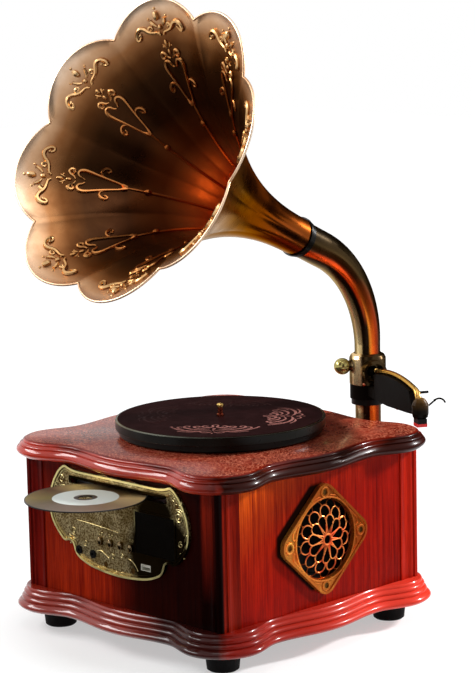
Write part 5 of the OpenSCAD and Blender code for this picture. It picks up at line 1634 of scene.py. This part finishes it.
# %% Tonearm rod and screws
ARM_ANGLE = -30
to_arm = Matrix.Translation(neck_foot) @ Matrix.Rotation(math.radians(ARM_ANGLE), 4, "Z")
PIVOT_X = 23
PIVOT_Z = 247
APEX_X = 106.64
APEX_Z = 257
ROD_BACK_X = 32
ROD_FRONT_X = 156
ROD_R = 2.6
ROD_WIDENS = 0.9
HEAD_BEND_R = 14
ARCH_STEPS = 32
BEND_STEPS = 16
arch_r = ((APEX_X - PIVOT_X) ** 2 + (APEX_Z - PIVOT_Z) ** 2) / (2 * (APEX_Z - PIVOT_Z))
lean = math.asin((ROD_FRONT_X - APEX_X) / arch_r)
bend_x = APEX_X + (arch_r - HEAD_BEND_R) * math.sin(lean)
bend_z = APEX_Z - arch_r + (arch_r - HEAD_BEND_R) * math.cos(lean)
rod_line = []
for i in range(ARCH_STEPS + 1):
    x = ROD_BACK_X + (ROD_FRONT_X - ROD_BACK_X) * i / ARCH_STEPS
    rod_line.append(((x, APEX_Z - arch_r + math.sqrt(arch_r ** 2 - (x - APEX_X) ** 2)), ROD_R))
for i in range(1, BEND_STEPS + 1):
    share = i / BEND_STEPS
    angle = (math.pi / 2 - lean) * (1 - share)
    spot = (bend_x + HEAD_BEND_R * math.cos(angle), bend_z + HEAD_BEND_R * math.sin(angle))
    rod_line.append((spot, ROD_R + ROD_WIDENS * share ** 0.7))
rod_path = [(to_arm @ (Vector((x, 0, z)) * MM), radius * MM) for (x, z), radius in rod_line]
tip_line = [((23.6, 247.3), 0.5), ((26, 248.2), 1.4), ((29, 249.2), 2.2), ((30.6, 249.7), 2.4),
            ((31, 249.8), 1.7)]
tip_path = [(to_arm @ (Vector((x, 0, z)) * MM), radius * MM) for (x, z), radius in tip_line]
piece("arched_rod", wire_mesh([(rod_path, False), (tip_path, False)], resolution=6), rod_gold, "arm",
      ["tonearm_rod"], sharp=50)


def round_head(place, axis, radius, height):
    """A screw head: a low turned dome with a slot, standing on a place along an axis."""
    shape = bmesh.new()
    profile = [(0, height), (radius * 0.55, height * 0.88), (radius * 0.9, height * 0.45), (radius, 0),
               (radius, -0.6), (0, -0.6)]
    spots = [shape.verts.new((x, 0, z)) for x, z in profile]
    line = [shape.edges.new(pair) for pair in zip(spots, spots[1:])]
    bmesh.ops.spin(shape, geom=spots + line, cent=(0, 0, 0), axis=(0, 0, 1), angle=math.radians(360),
                   steps=24, use_merge=True)
    bmesh.ops.remove_doubles(shape, verts=shape.verts, dist=0.001)
    bmesh.ops.recalc_face_normals(shape, faces=shape.faces)
    for face in shape.faces:
        face.smooth = True
    turn = Vector(axis).to_track_quat("Z", "Y").to_matrix().to_4x4()
    bmesh.ops.transform(shape, matrix=Matrix.Diagonal((MM, MM, MM, 1)), verts=shape.verts)
    bmesh.ops.transform(shape, matrix=to_arm @ Matrix.Translation(Vector(place) * MM) @ turn,
                        verts=shape.verts)
    return shape


WEB_HALF = 5.5
piece("web_screw", round_head((112, -WEB_HALF + 1.6, 225.2), (0, 0, -1), 1.9, 1.0), screw_copper, "arm")
piece("base_screw", round_head((16.4, -9.2, 233.2), (0.87, -0.5, 0), 1.6, 0.9), screw_copper, "carrier")

# %% [markdown]
# ## Sizes
# The box of the finished model is measured.

# %% Sizes and finish
low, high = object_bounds()
